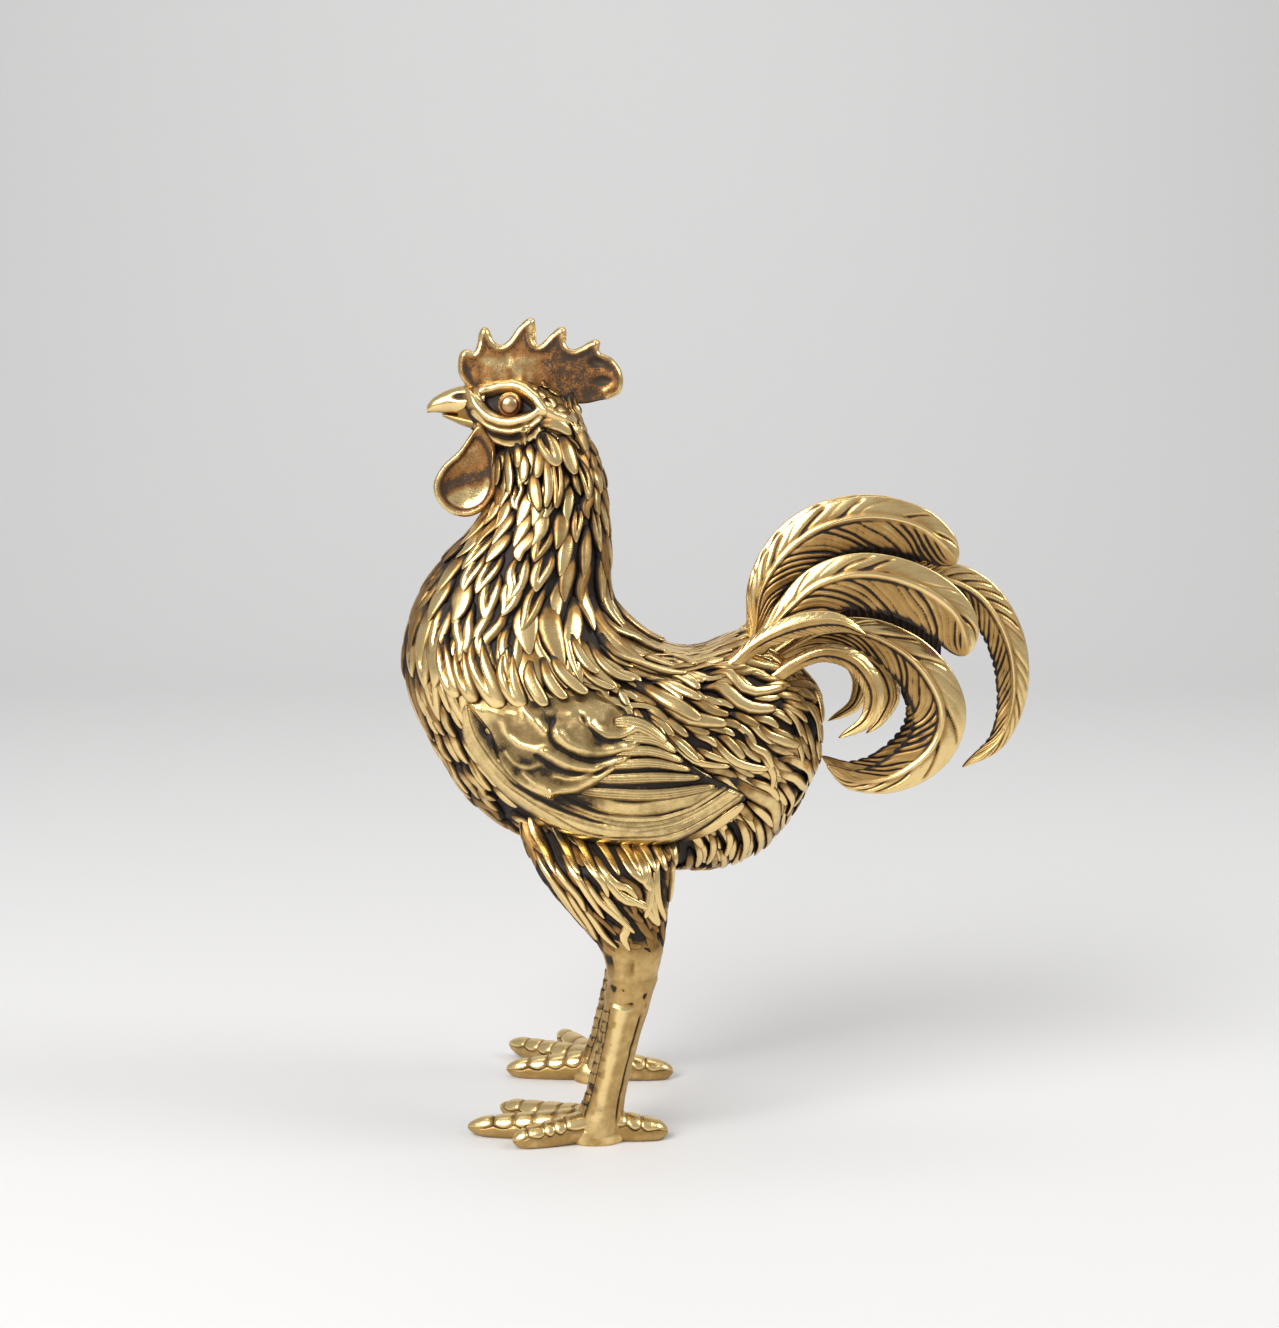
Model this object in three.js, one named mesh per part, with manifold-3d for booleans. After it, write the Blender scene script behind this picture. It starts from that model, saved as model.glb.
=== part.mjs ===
// A standing brass cockerel, built as the small castings that are pinned, let in and brazed together.
// Millimetres, +Z up. The bird faces -X, and its left side looks towards -Y.
import * as THREE from "three";
import { mergeVertices } from "three/addons/utils/BufferGeometryUtils.js";
import Module from "manifold-3d";

const wasm = await Module();
wasm.setup();

// Main sizes.
const figurineLength = 117; // from the breast to the rearmost plume
const figurineHeight = 149.7; // from the soles to the top of the comb

// Fits and walls.
const seatGap = 0.3; // clearance wherever one casting is let into, or closes on, another
const bodyWall = 3; // wall of the two hollow trunk castings
const capeWall = 3.4; // wall of the neck cape over the spigot of the trunk
const plumage = 1.3; // depth from the crest of the plumage to the skin that it lies on

// Trunk with its plumage, from the nape (0) to the tail head (13):
// back x, back z, front or belly x, front or belly z, half width.
const trunkStations = [
  [-24.4, 130.1, -40.4, 125.5, 8],
  [-21.1, 122.8, -40.7, 118.1, 9],
  [-19.8, 114.5, -44.3, 112.2, 11],
  [-19.2, 106.1, -51.4, 105.2, 14],
  [-19.1, 99.6, -56.1, 97.7, 16.5],
  [-17.0, 95.5, -58.5, 89.3, 19],
  [-12.4, 91.2, -57.7, 80.8, 21],
  [-6.8, 89.3, -52.8, 69.5, 22],
  [-2.1, 89.7, -44.4, 58.0, 22],
  [2.6, 91.7, -29.4, 50.3, 21.5],
  [6.3, 92.5, -14.2, 47.2, 20],
  [11.0, 90.2, 2.2, 47.4, 17],
  [15.7, 85.5, 13.1, 55.1, 12],
  [19.5, 80.8, 20.0, 67.5, 5],
];
const capeTop = 0.6; // station where the cape meets the head
const capeHem = 6; // station where the cape meets the trunk castings
const hemReach = 1.5; // how many stations the hem feathers hang over the trunk
const spigotTop = 3; // station where the trunk's spigot ends inside the cape
const hollowFrom = 6.7; // the hollow of the trunk, in stations
const hollowTo = 9.9;

// Feathers that are part of the castings: rows along the piece, feathers round it.
const capeRows = 7;
const capeFeathers = 17;
const trunkRows = 3;
const trunkFeathers = 16;
const thighRows = 3;
const thighFeathers = 9;
const thighRelief = 1; // height of the thigh's strands
const hemEase = 0.2; // extra room under the hem
const featherPoint = 0.75; // how far a tip runs out past its row, in rows
const strandRise = 1.1; // how far the broad strands of saddle and rump stand over the plumage

// Broad strands of each flank, from root to tip in side view, and their width.
const broadStrands = [
  { line: [[-12.5, 82.8], [-8.5, 80.9], [-5, 78.6], [1.4, 77]], width: 3 },
  { line: [[-11.4, 79.2], [-7.4, 77], [-3.6, 74.4], [1.6, 73]], width: 2.4 },
  { line: [[-8, 85.2], [-3.2, 84.2], [1.6, 82.4], [5.2, 80.2], [10.4, 79.2]], width: 2.6 },
  { line: [[5.6, 77.6], [8.9, 75.2], [11.6, 73.7], [14.9, 72.4]], width: 2.2 },
  { line: [[5.2, 67.2], [8.2, 64.8], [10.4, 61.2], [11, 56.6]], width: 2.6 },
  { line: [[9.6, 70.8], [12.4, 70.2], [14.8, 68.8], [16.2, 66.6]], width: 2.2 },
];

// Head.
const combThickness = 2.8;
const combTipShare = 0.55; // thickness left at the top of the highest spike
const combSeat = 2.6; // depth of the comb's tongue in the slot of the head
const eyeRadius = 2.1;
const eyeProud = 1.2; // how far the bead stands out of the cheek
const wattleHalfThickness = 1.5;
const wattleSpread = 3.3; // distance of a wattle's middle from the centre line
const neckTenonRadius = 3.6;
const neckTenonLength = 6;

// Wings.
const wingThickness = 2.4;
const shieldRise = 1.7; // how far the shield stands over the flight feathers
const quillStep = 1; // step from one flight feather to the next
const flightFeathers = 5;
const wingStrips = 11; // strips along the wing, so that its plate follows the flank
const studRadius = 1.5;
const studLength = 2.4;
const swirlRise = 0.9; // how far the swirl on the shield stands over it

// The swirl: ridges on the shield, from root to tip in side view, and their width.
const swirlRidges = [
  { line: [[-29.4, 77.6], [-27, 74.6], [-21.4, 73], [-15.4, 74.4]], width: 2.4 },
  { line: [[-24, 78.6], [-20.8, 76.4], [-18, 76.2], [-15.4, 77.6]], width: 2 },
  { line: [[-32, 73.8], [-27.9, 71], [-23, 70], [-18.2, 71.6]], width: 2.2 },
];

// Legs.
const stance = 17; // distance of each leg from the centre line
const shankRadius = 4;
const kneeHeight = 29;
const toeRadius = 2.6;
const soleCut = 0.7; // share of a toe's radius left between its middle and the flat sole
const legTenonRadius = 2.2;
const legTenonLength = 9;
const thighPinRadius = 1.8;
const thighPinLength = 20;
const bossWall = 2.4;
const dowelRadius = 1.5;
const dowelLength = 9;
const dowelBlind = 0.6; // free depth past each end of a pin

// Tail plumes. line: x, z from the root to the tip. y: distance from the centre line at root and tip.
const stemRadius = 1.5;
const plumeThickness = 3.4;
const plumeStep = 4.6; // distance from one section of a plume to the next
const plumes = {
  tail_top: {
    line: [[6.4, 87.5], [7.4, 92.5], [8.6, 99.5], [12.8, 105.8], [19.2, 110.4], [27.9, 112.3],
      [36.5, 110.6], [43.8, 105.2]],
    y: [4, 5.2],
    half: 4.7,
    tip: "blunt",
  },
  tail_second: {
    line: [[5.2, 86.8], [8.6, 91.4], [13.4, 96.4], [18.8, 100.4], [26.2, 101.9], [34.9, 100],
      [41.8, 95.4], [45, 88.6]],
    y: [8.2, 10.2],
    half: 5,
    tip: "blunt",
  },
  tail_long_sickle: {
    line: [[7.5, 84.6], [12.5, 88.6], [20, 92], [28.2, 91.4], [36.4, 86.2], [41, 78.2],
      [39.4, 71], [33, 65.8], [25.6, 64.6], [20.4, 67.4]],
    y: [4.2, 5],
    half: 4.9,
    tip: "pointed",
  },
  tail_outer_sickle: {
    line: [[7.8, 86.2], [13.5, 91.6], [24.9, 98.2], [37.8, 101.9], [47.6, 99.2], [53.6, 91],
      [55.4, 80.8], [53, 71.6], [46.4, 66.2]],
    y: [0, 0],
    half: 3.6,
    tip: "pointed",
  },
  tail_inner_curl: {
    line: [[11.4, 84.6], [16.6, 87.4], [24, 88.6], [30.4, 85.6], [32.8, 80], [31, 75.4], [28.2, 72.6]],
    y: [0, 0],
    half: 1.9,
    tip: "pointed",
  },
  tail_small_curl: {
    line: [[8.6, 83.2], [14, 87], [19.5, 88.9], [25, 87.2], [28.3, 82], [27.1, 76.7], [22, 73.4]],
    y: [9, 10.4],
    half: 1.8,
    tip: "pointed",
  },
  tail_covert: {
    line: [[1.8, 86.4], [7.4, 91.2], [14.6, 94.3], [21.2, 94.9], [26.6, 92.6]],
    y: [11.6, 13.4],
    half: 2.1,
    tip: "pointed",
  },
};
const plumeSwell = {
  blunt: [0, 0.15, 0.5, 0.82, 0.97, 1, 0.96, 0.8, 0.3],
  pointed: [0, 0.12, 0.4, 0.75, 0.97, 1, 0.84, 0.5, 0.06],
};

// Small tools.
const V = (x, y, z) => new THREE.Vector3(x, y, z);
const lerp = THREE.MathUtils.lerp;
const range = (count) => [...Array(count).keys()];
const sides = { left: -1, right: 1 };

// Places in side view are drawn for a bird 117 long and 149.7 high, and laid out to the main sizes.
const alongScale = figurineLength / 117;
const upScale = figurineHeight / 149.7;
const at = (x, y, z) => V(x * alongScale, y, z * upScale);
const beyond = 2 * Math.max(figurineHeight, figurineLength); // reach of a cutting block

// Shares of a surface in pairs, the last line of one strip beside the first line of the next.
function pairedShare(share, strips) {
  const line = Math.round(share * (2 * strips - 1));
  if (line === 0 || line === 2 * strips - 1) return share;
  return (Math.floor(line / 2) + (line % 2 ? 0.95 : 0.05)) / strips;
}
const sawtooth = (value) => value - Math.floor(value) - 0.5;

function solidFrom(positions, index) {
  const geometry = new THREE.BufferGeometry();
  geometry.setAttribute("position", new THREE.Float32BufferAttribute(positions, 3));
  geometry.setIndex(index);
  return solidOf(geometry);
}

// A closed geometry as a solid, turned inside out if its faces pointed in.
function solidOf(geometry) {
  const bare = geometry.clone();
  bare.deleteAttribute("normal");
  bare.deleteAttribute("uv");
  const merged = mergeVertices(bare, 1e-4);
  const vertProperties = merged.attributes.position.array;
  const triVerts = new Uint32Array(merged.index.array);
  const made = new wasm.Manifold(new wasm.Mesh({ numProp: 3, vertProperties, triVerts }));
  if (made.volume() > 0) return made;
  return new wasm.Manifold(
    new wasm.Mesh({ numProp: 3, vertProperties, triVerts: triVerts.reverse() }),
  );
}

// Skin through rings of equal count, each end closed by a fan on its middle.
function loft(rings) {
  const count = rings[0].length;
  const middle = (ring) => ring.reduce((sum, p) => sum.add(p), V(0, 0, 0)).divideScalar(count);
  const points = [...rings.flat(), middle(rings[0]), middle(rings.at(-1))];
  const [start, end] = [points.length - 2, points.length - 1];
  const lastRing = (rings.length - 1) * count;
  const index = [];
  for (const i of range(count)) {
    const next = (i + 1) % count;
    for (const r of range(rings.length - 1)) {
      const [a, b] = [r * count + i, r * count + next];
      index.push(a, b, b + count, a, b + count, a + count);
    }
    index.push(start, next, i, end, lastRing + i, lastRing + next);
  }
  return solidFrom(points.flatMap((p) => p.toArray()), index);
}

// Plate between two surfaces, each a function of two shares from 0 to 1.
function plate(outer, inner, across, along) {
  const row = along + 1;
  const cells = (across + 1) * row;
  const points = [];
  for (const surface of [outer, inner])
    for (const i of range(across + 1))
      for (const j of range(row)) points.push(surface(i / across, j / along));
  const index = [];
  const quad = (a, b, c, d) => index.push(a, b, c, a, c, d);
  const at = (i, j) => i * row + j;
  for (const i of range(across))
    for (const j of range(along)) {
      quad(at(i, j), at(i, j + 1), at(i + 1, j + 1), at(i + 1, j));
      quad(cells + at(i, j), cells + at(i + 1, j), cells + at(i + 1, j + 1), cells + at(i, j + 1));
    }
  for (const i of range(across)) {
    quad(at(i, 0), at(i + 1, 0), cells + at(i + 1, 0), cells + at(i, 0));
    quad(at(i + 1, along), at(i, along), cells + at(i, along), cells + at(i + 1, along));
  }
  for (const j of range(along)) {
    quad(at(0, j + 1), at(0, j), cells + at(0, j), cells + at(0, j + 1));
    quad(at(across, j), at(across, j + 1), cells + at(across, j + 1), cells + at(across, j));
  }
  return solidFrom(points.flatMap((p) => p.toArray()), index);
}

// Value of an evenly spaced list at a share from 0 to 1.
function alongList(list, share) {
  const place = Math.min(share, 1) * (list.length - 1);
  const i = Math.min(Math.floor(place), list.length - 2);
  return lerp(list[i], list[i + 1], place - i);
}

const splineOf = (points) => new THREE.CatmullRomCurve3(points);
const sideSpline = (line, y = 0) => splineOf(line.map(([x, z]) => at(x, y, z)));

function pin(from, to, radius, sidesCount = 12) {
  const length = from.distanceTo(to);
  const geometry = new THREE.CylinderGeometry(radius, radius, length, sidesCount);
  const turn = new THREE.Quaternion().setFromUnitVectors(V(0, 1, 0), to.clone().sub(from).normalize());
  geometry.applyQuaternion(turn);
  const middle = from.clone().lerp(to, 0.5);
  geometry.translate(middle.x, middle.y, middle.z);
  return solidOf(geometry);
}

function egg(centre, radii, rows = 6) {
  const geometry = new THREE.SphereGeometry(1, rows * 2, rows);
  geometry.scale(radii.x, radii.y, radii.z);
  geometry.translate(centre.x, centre.y, centre.z);
  return solidOf(geometry);
}

function block(low, high) {
  const size = high.clone().sub(low);
  const middle = low.clone().lerp(high, 0.5);
  const geometry = new THREE.BoxGeometry(size.x, size.y, size.z);
  return solidOf(geometry.translate(middle.x, middle.y, middle.z));
}

// Round cord along points, with a radius for each point.
function cordOf(points, radii, count = 8, steps = 8) {
  const curve = splineOf(points);
  const rings = range(steps + 1).map((i) => {
    const u = i / steps;
    const centre = curve.getPoint(u);
    const ahead = curve.getTangent(u);
    const across = V(0, 1, 0).addScaledVector(ahead, -ahead.y).normalize();
    const up = ahead.clone().cross(across);
    const radius = alongList(radii, u);
    return range(count).map((k) => {
      const turn = (2 * Math.PI * k) / count;
      return centre.clone()
        .addScaledVector(across, radius * Math.cos(turn))
        .addScaledVector(up, radius * Math.sin(turn));
    });
  });
  return loft(rings);
}

const joined = (solids) => solids.reduce((all, next) => all.add(next));
const cut = (solid, ...tools) => tools.reduce((left, tool) => left.subtract(tool), solid);

// The trunk as a surface: a station from the nape to the tail head, an angle from the back line that
// grows towards the left side, and a height over the crest of the plumage.
const lastStation = trunkStations.length - 1;
const backLine = sideSpline(trunkStations);
const frontLine = sideSpline(trunkStations.map(([, , x, z]) => [x, z]));
const widthLine = splineOf(trunkStations.map((station, i) => V(i, station[4], 0)));

function trunkFrame(station) {
  const share = station / lastStation;
  const back = backLine.getPoint(share);
  const centre = back.clone().lerp(frontLine.getPoint(share), 0.5);
  const rise = back.clone().sub(centre);
  return { centre, reach: rise.length(), up: rise.normalize(), half: widthLine.getPoint(share).y };
}

function onTrunk(station, angle, height = 0) {
  const { centre, reach, up, half } = trunkFrame(station);
  const point = centre.addScaledVector(up, (reach + height) * Math.cos(angle));
  point.y -= (half + height) * Math.sin(angle);
  return point;
}

function trunkLength(from, to, height, count, steps) {
  return loft(
    range(steps + 1).map((i) =>
      range(count).map((k) => onTrunk(lerp(from, to, i / steps), (2 * Math.PI * k) / count, height)),
    ),
  );
}

// Half width of the trunk at a place in side view.
function flank(x, z, height) {
  const place = V(x, 0, z);
  const ahead = (station) => {
    const { centre, up } = trunkFrame(station);
    return place.clone().sub(centre).dot(V(-up.z, 0, up.x));
  };
  let [low, high] = [capeHem - 1, lastStation];
  for (const i of range(24)) {
    const middle = (low + high) / 2;
    if (ahead(low) * ahead(middle) <= 0) high = middle;
    else low = middle;
  }
  const { centre, reach, half } = trunkFrame(low);
  const share = Math.min(place.distanceTo(centre) / (reach + height), 1);
  return (half + height) * Math.sqrt(1 - share * share);
}

// Ridge with a sharp crest along a side view line: it lies on the flank at a height over the plumage.
const ridgeSwell = [0.5, 1, 1, 0.45];
const ridgeLift = [0.6, 1, 1, 0.8];
function ridgeOn({ line, width }, side, foot, crest) {
  const curve = sideSpline(line);
  const steps = ridgeSwell.length - 1;
  const rings = range(steps + 1).map((i) => {
    const centre = curve.getPoint(i / steps);
    const ahead = curve.getTangent(i / steps);
    const aside = V(-ahead.z, 0, ahead.x).multiplyScalar((ridgeSwell[i] * width) / 2);
    const top = lerp(foot, crest, ridgeLift[i]);
    return [[-1, foot], [0, top], [1, foot]].map(([across, height]) => {
      const point = centre.clone().addScaledVector(aside, across);
      point.y = side * flank(point.x, point.z, height);
      return point;
    });
  });
  return loft(rings);
}

// Skin laid with rows of pointed feathers, over a surface(along, angle, height). Each row has three rings:
// the skin under the tips of the row above, the middle of its feathers, and their tips, which stand proud
// and run out in points. Rows are set half a feather apart, and where flat() is true there is no relief.
const acrossFeather = 2; // points to a feather: its keel and the valley beside it
const keelAt = (i, row) => {
  const place = i / acrossFeather + row / 2;
  return 1 - Math.abs(2 * (place - Math.floor(place)) - 1);
};
function plumedRings(surface, { from, to, rows, feathers, base, relief, start, flat = () => false }) {
  const pitch = (to - from) / rows;
  const ring = (row, reach, lift, step) =>
    range(feathers * acrossFeather).map((i) => {
      const keel = keelAt(i, row);
      const along = from + pitch * (row + reach(keel)) + step;
      const angle = (2 * Math.PI * i) / (feathers * acrossFeather);
      const height = flat(along, angle) ? 0 : relief * lift(keel);
      return surface(along, angle, base + height);
    });
  const rings = [...start];
  for (const row of range(rows)) {
    const under = row === 0 ? () => 0 : (keel) => featherPoint * (1 - keel);
    rings.push(
      ring(row, under, () => 0.08, 0.02 * pitch),
      ring(row, (keel) => 0.55 + 0.45 * featherPoint, (keel) => 0.3 + 0.45 * keel, 0),
      ring(row, (keel) => 1 + featherPoint * keel, (keel) => 0.55 + 0.45 * keel, 0),
    );
  }
  return rings;
}

const plainRing = (surface, along, height, count) =>
  range(count).map((k) => surface(along, (2 * Math.PI * k) / count, height));

// Tail plume: a vane whose quill crest lies nearer to its outer edge.
const vaneSection = [[-1, 0.24], [0.26, 1], [1, 0.28]];
function plumeSolid({ line, y, half, tip }, side, height = 0) {
  const curve = sideSpline(line);
  const steps = Math.max(8, Math.round(curve.getLength() / plumeStep));
  const rings = range(steps + 1).map((i) => {
    const u = i / steps;
    const centre = curve.getPoint(u);
    const ahead = curve.getTangent(u);
    const outward = V(-ahead.z, 0, ahead.x);
    const swell = alongList(plumeSwell[tip], u);
    const vane = swell * half + (1 - u) * (1 - swell) * stemRadius + height + 0.05;
    const depth = lerp(stemRadius, plumeThickness / 2, swell) * lerp(1, 0.55, u * u) + height;
    const middle = side * lerp(y[0], y[1], u);
    const face = (sign) =>
      vaneSection.map(([across, deep]) => {
        const stem = Math.max(0, 1 - u * 6);
        const point = centre.clone().addScaledVector(outward, across * vane);
        point.y = middle + sign * depth * lerp(deep, Math.max(deep, 0.5), stem);
        return point;
      });
    return [...face(1), ...face(-1).reverse()];
  });
  return loft(rings);
}

// Wing: a curved plate on the flank. Its edges in side view run from the shoulder to the tip.
const wingLower = sideSpline([[-46.6, 79.2], [-45.4, 72], [-37.6, 62.6], [-24, 55.4], [-9, 55.2], [4.6, 63]]);
const wingUpper = sideSpline([[-46.2, 81.4], [-38, 83.2], [-24, 83.6], [-12.6, 77], [-4.4, 69.4],
  [4.8, 64.2]]);
const wingMiddle = at(-20, 0, 70);
const shield = { x: -29.6, z: 73.4, halfLength: 16, halfHeight: 10.4, squareTop: 4, roundFoot: 2 };

function wingPlace(u, v, height) {
  const place = wingLower.getPoint(u).lerp(wingUpper.getPoint(u), v);
  return place.addScaledVector(place.clone().sub(wingMiddle).normalize(), height);
}

// Height of the wing's face: a domed shield in front, long flight feathers below and behind.
function wingRise(place, u, v) {
  const across = (place.x / alongScale - shield.x) / shield.halfLength;
  const up = (place.z / upScale - shield.z) / shield.halfHeight;
  const power = up > 0 ? shield.squareTop : shield.roundFoot;
  const dome = Math.sqrt(Math.max(0, 1 - Math.abs(across) ** power - Math.abs(up) ** power));
  const feather = Math.min(1, Math.max(0, (u - 0.06) * 6)) * quillStep * sawtooth((1 - v) * flightFeathers);
  const rim = Math.min(1, 0.45 + 6 * Math.min(u, 1 - u, v * 0.6 + 0.02, (1 - v) * 0.6 + 0.02));
  return wingThickness * rim + shieldRise * dome + feather * (1 - dome);
}

function wingSolid(side, height = 0) {
  const face = (rise) => (u, across) => {
    const v = pairedShare(across, flightFeathers);
    const place = wingPlace(u, v, height);
    place.y = side * flank(place.x, place.z, rise(place, u, v) - plumage);
    return place;
  };
  const outer = face((place, u, v) => wingRise(place, u, v) + height);
  const inner = face(() => seatGap - height);
  return plate(outer, inner, wingStrips, 2 * flightFeathers - 1);
}

function wingRidge(ridge, side) {
  const face = wingThickness + shieldRise - plumage;
  return ridgeOn(ridge, side, face - 1.2, face + swirlRise);
}

const studs = [[-36, 75], [-15, 68]];
function wingStud([x, z], side, height) {
  const from = at(x, 0, z);
  const skin = flank(from.x, from.z, -plumage);
  const to = at(x, side * (skin - studLength - (height ? dowelBlind : 0)), z);
  from.y = side * (skin + wingThickness / 2);
  return pin(from, to, studRadius + height, 8);
}

// Thigh: an oval drumstick. z, front x, rear x, middle y, half width.
const thighStations = [
  [62, -37, -6, 11, 9.5],
  [55, -36, -6.4, 13.4, 9.4],
  [50, -33.4, -7.8, 15, 8.6],
  [45, -29.6, -8.6, 16, 7.4],
  [40, -25.2, -9.2, 16.6, 6.2],
  [35, -21.2, -10, stance, 5],
  [kneeHeight, -20.1, -11.5, stance, 4.1],
];
const thighSpline = splineOf(
  thighStations.map(([z, front, rear]) => at((front + rear) / 2, ((rear - front) / 2) * alongScale, z)),
);
const thighSides = splineOf(thighStations.map(([, , , y, half], i) => V(i, y, half)));

function thighSurface(side) {
  return (share, angle, height) => {
    const middle = thighSpline.getPoint(share);
    const sideways = thighSides.getPoint(share);
    return V(
      middle.x - (middle.y + height) * Math.cos(angle),
      side * (sideways.y + (sideways.z + height) * Math.sin(angle)),
      middle.z,
    );
  };
}

function thighSolid(side) {
  const surface = thighSurface(side);
  const count = thighFeathers * acrossFeather;
  const start = [0, 0.2].map((share) => plainRing(surface, share, -thighRelief, count));
  const spec = { from: 0.28, to: 0.86, rows: thighRows, feathers: thighFeathers };
  const rings = plumedRings(surface, { ...spec, base: -thighRelief, relief: thighRelief, start });
  const end = [0.99, 1].map((share) => plainRing(surface, share, -thighRelief * 0.5, count));
  return loft([...rings, ...end]);
}

// Shank: round, leaning back from the foot to the knee, with a raised scute strip down its front.
const shankTop = at(-15.8, 0, kneeHeight);
const shankFoot = at(-21.6, 0, 4);
const scuteRise = 0.8;
const scuteCount = 6;

function shankSurface(side) {
  const lean = shankTop.clone().sub(shankFoot).normalize();
  const forward = V(-lean.z, 0, lean.x);
  return (share, angle, height) => {
    const middle = shankTop.clone().lerp(shankFoot, share);
    const radius = shankRadius * (1 + 0.06 * Math.cos(2 * Math.PI * share)) + height;
    middle.addScaledVector(forward, radius * Math.cos(angle));
    middle.y = side * (stance + radius * 0.92 * Math.sin(angle));
    return middle;
  };
}

// Feet. Each toe: angle from straight ahead towards the outer side, length and lift of its end.
const feet = {
  left: [
    { angle: 18, length: 16.5, lift: 0 },
    { angle: -5, length: 24.5, lift: 0 },
    { angle: -34, length: 23, lift: 0 },
    { angle: 180, length: 12.5, lift: 0 },
  ],
  right: [
    { angle: 64, length: 21.5, lift: 1.6 },
    { angle: 38, length: 25, lift: 0.8 },
    { angle: 4, length: 19.5, lift: 0 },
    { angle: 180, length: 14, lift: 0 },
  ],
};
const toeProfile = [1.1, 1, 1.06, 0.88, 0.98, 0.8, 0.92, 0.82, 0.4];

function toeSolid({ angle, length, lift }, side) {
  const turn = THREE.MathUtils.degToRad(angle);
  const heading = V(-Math.cos(turn), side * Math.sin(turn), 0);
  const base = V(shankFoot.x, side * stance, toeRadius * soleCut + 1.2);
  const points = range(5).map((i) => {
    const u = i / 4;
    const point = base.clone().addScaledVector(heading, length * alongScale * u);
    point.z = toeRadius * lerp(1, 0.8, u) * soleCut + 1.2 * (1 - u) ** 2 + lift * u;
    return point;
  });
  return cordOf(points, toeProfile.map((share) => share * toeRadius), 6, 8);
}

const kneeMiddle = (side, up) => {
  const lean = shankTop.clone().sub(shankFoot).normalize();
  const point = shankTop.clone().addScaledVector(lean, up);
  point.y = side * stance;
  return point;
};

function legSolid(name, side) {
  const surface = shankSurface(side);
  const shank = loft(
    range(5).map((i) => range(12).map((k) => surface(i / 4, (2 * Math.PI * k) / 12, 0))),
  );
  const strip = (rise, step) => (across, share) => {
    const down = pairedShare(share, scuteCount);
    const height = rise + step * sawtooth(down * scuteCount);
    return surface(lerp(0.03, 0.94, down), lerp(-0.8, 0.8, across), height);
  };
  const scutes = plate(strip(scuteRise, 0.5), strip(-0.8, 0), 4, 2 * scuteCount - 1);
  const tenon = pin(kneeMiddle(side, -2), kneeMiddle(side, legTenonLength), legTenonRadius);
  const pad = egg(V(shankFoot.x, side * stance, 3), V(6.2, 5.4, 4), 5);
  const toes = feet[name].map((toe) => toeSolid(toe, side));
  const underfoot = block(V(-beyond, -beyond, -beyond), V(beyond, beyond, 0));
  const overKnee = block(V(-beyond, -beyond, shankTop.z - seatGap), V(beyond, beyond, beyond));
  return cut(joined([cut(shank.add(scutes), overKnee), tenon, pad, ...toes]), underfoot);
}

// Head: ovals along x. x, top z, bottom z, half width.
const headStations = [
  [-47.6, 136, 130.6, 2.2],
  [-45.5, 136.7, 129.6, 3.4],
  [-42.5, 137.4, 127.8, 5],
  [-38.7, 138, 126.4, 6.5],
  [-34.5, 138.1, 125.6, 7.4],
  [-30, 136.8, 125, 7.6],
  [-26.4, 134.2, 124.6, 6.6],
  [-23.6, 130.6, 124.8, 3.6],
];
const headSpline = splineOf(headStations.map(([x, top, bottom]) => at(x, top * upScale, bottom)));
const headWidth = splineOf(headStations.map(([x, , , half]) => V(x, half, 0)));

function headRing(share, height, count) {
  const { x, y: top, z: bottom } = headSpline.getPoint(share);
  const half = headWidth.getPoint(share).y;
  return range(count).map((k) => {
    const turn = (2 * Math.PI * k) / count;
    const rise = (top - bottom) / 2 + height;
    return V(x, (half + height) * Math.sin(turn), (top + bottom) / 2 + rise * Math.cos(turn));
  });
}

// Half width of the head at a place of the drawn side view.
function cheek(x, z) {
  const i = Math.max(1, headStations.findIndex((station) => station[0] >= x));
  const [before, after] = [headStations[i - 1], headStations[i]];
  const share = (x - before[0]) / (after[0] - before[0]);
  const [top, bottom, half] = [1, 2, 3].map((k) => lerp(before[k], after[k], share));
  const off = (z - (top + bottom) / 2) / ((top - bottom) / 2);
  return half * Math.sqrt(Math.max(0, 1 - off * off));
}

const eyeDrop = 4.3; // from the crown of the head down to the middle of the eye
const eye = { x: headStations[3][0], z: headStations[3][1] - eyeDrop };
const eyeCentre = (side) => at(eye.x, side * (cheek(eye.x, eye.z) + eyeProud - eyeRadius), eye.z);
const onCheek = (line, side, proud) => line.map(([x, z]) => at(x, side * (cheek(x, z) + proud), z));
const browLine = [[-44, 136.2], [-41, 137.2], [-37.4, 137.2], [-33.6, 136], [-30.4, 133.6]];
const lidLine = [[-44.2, 135.6], [-43.4, 133.2], [-40.6, 131.2], [-37, 130.8], [-33, 132.2]];
const lobeLine = [[-34.4, 129.4], [-34.6, 127.2], [-34, 124.8]];

function headFeatures(side) {
  const brow = cordOf(onCheek(browLine, side, 0.1), [0.5, 1, 1.3, 1.2, 0.9, 0.3], 5, 6);
  const lid = cordOf(onCheek(lidLine, side, -0.1), [0.4, 0.8, 0.9, 0.9, 0.7, 0.3], 5, 6);
  const lobe = cordOf(onCheek(lobeLine, side, 0.3), [0.8, 1.6, 1.8, 0.7], 6, 4);
  return [brow, lid, lobe];
}

function eyeSocket(side) {
  const centre = eyeCentre(side);
  const almond = egg(
    V(centre.x + 0.3, side * (cheek(eye.x, eye.z) + 0.5), centre.z),
    V(4.2, 1.9, 2.5),
    5,
  );
  const seat = egg(centre, V(1, 1, 1).multiplyScalar(eyeRadius + seatGap), 5);
  return almond.add(seat);
}

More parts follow.
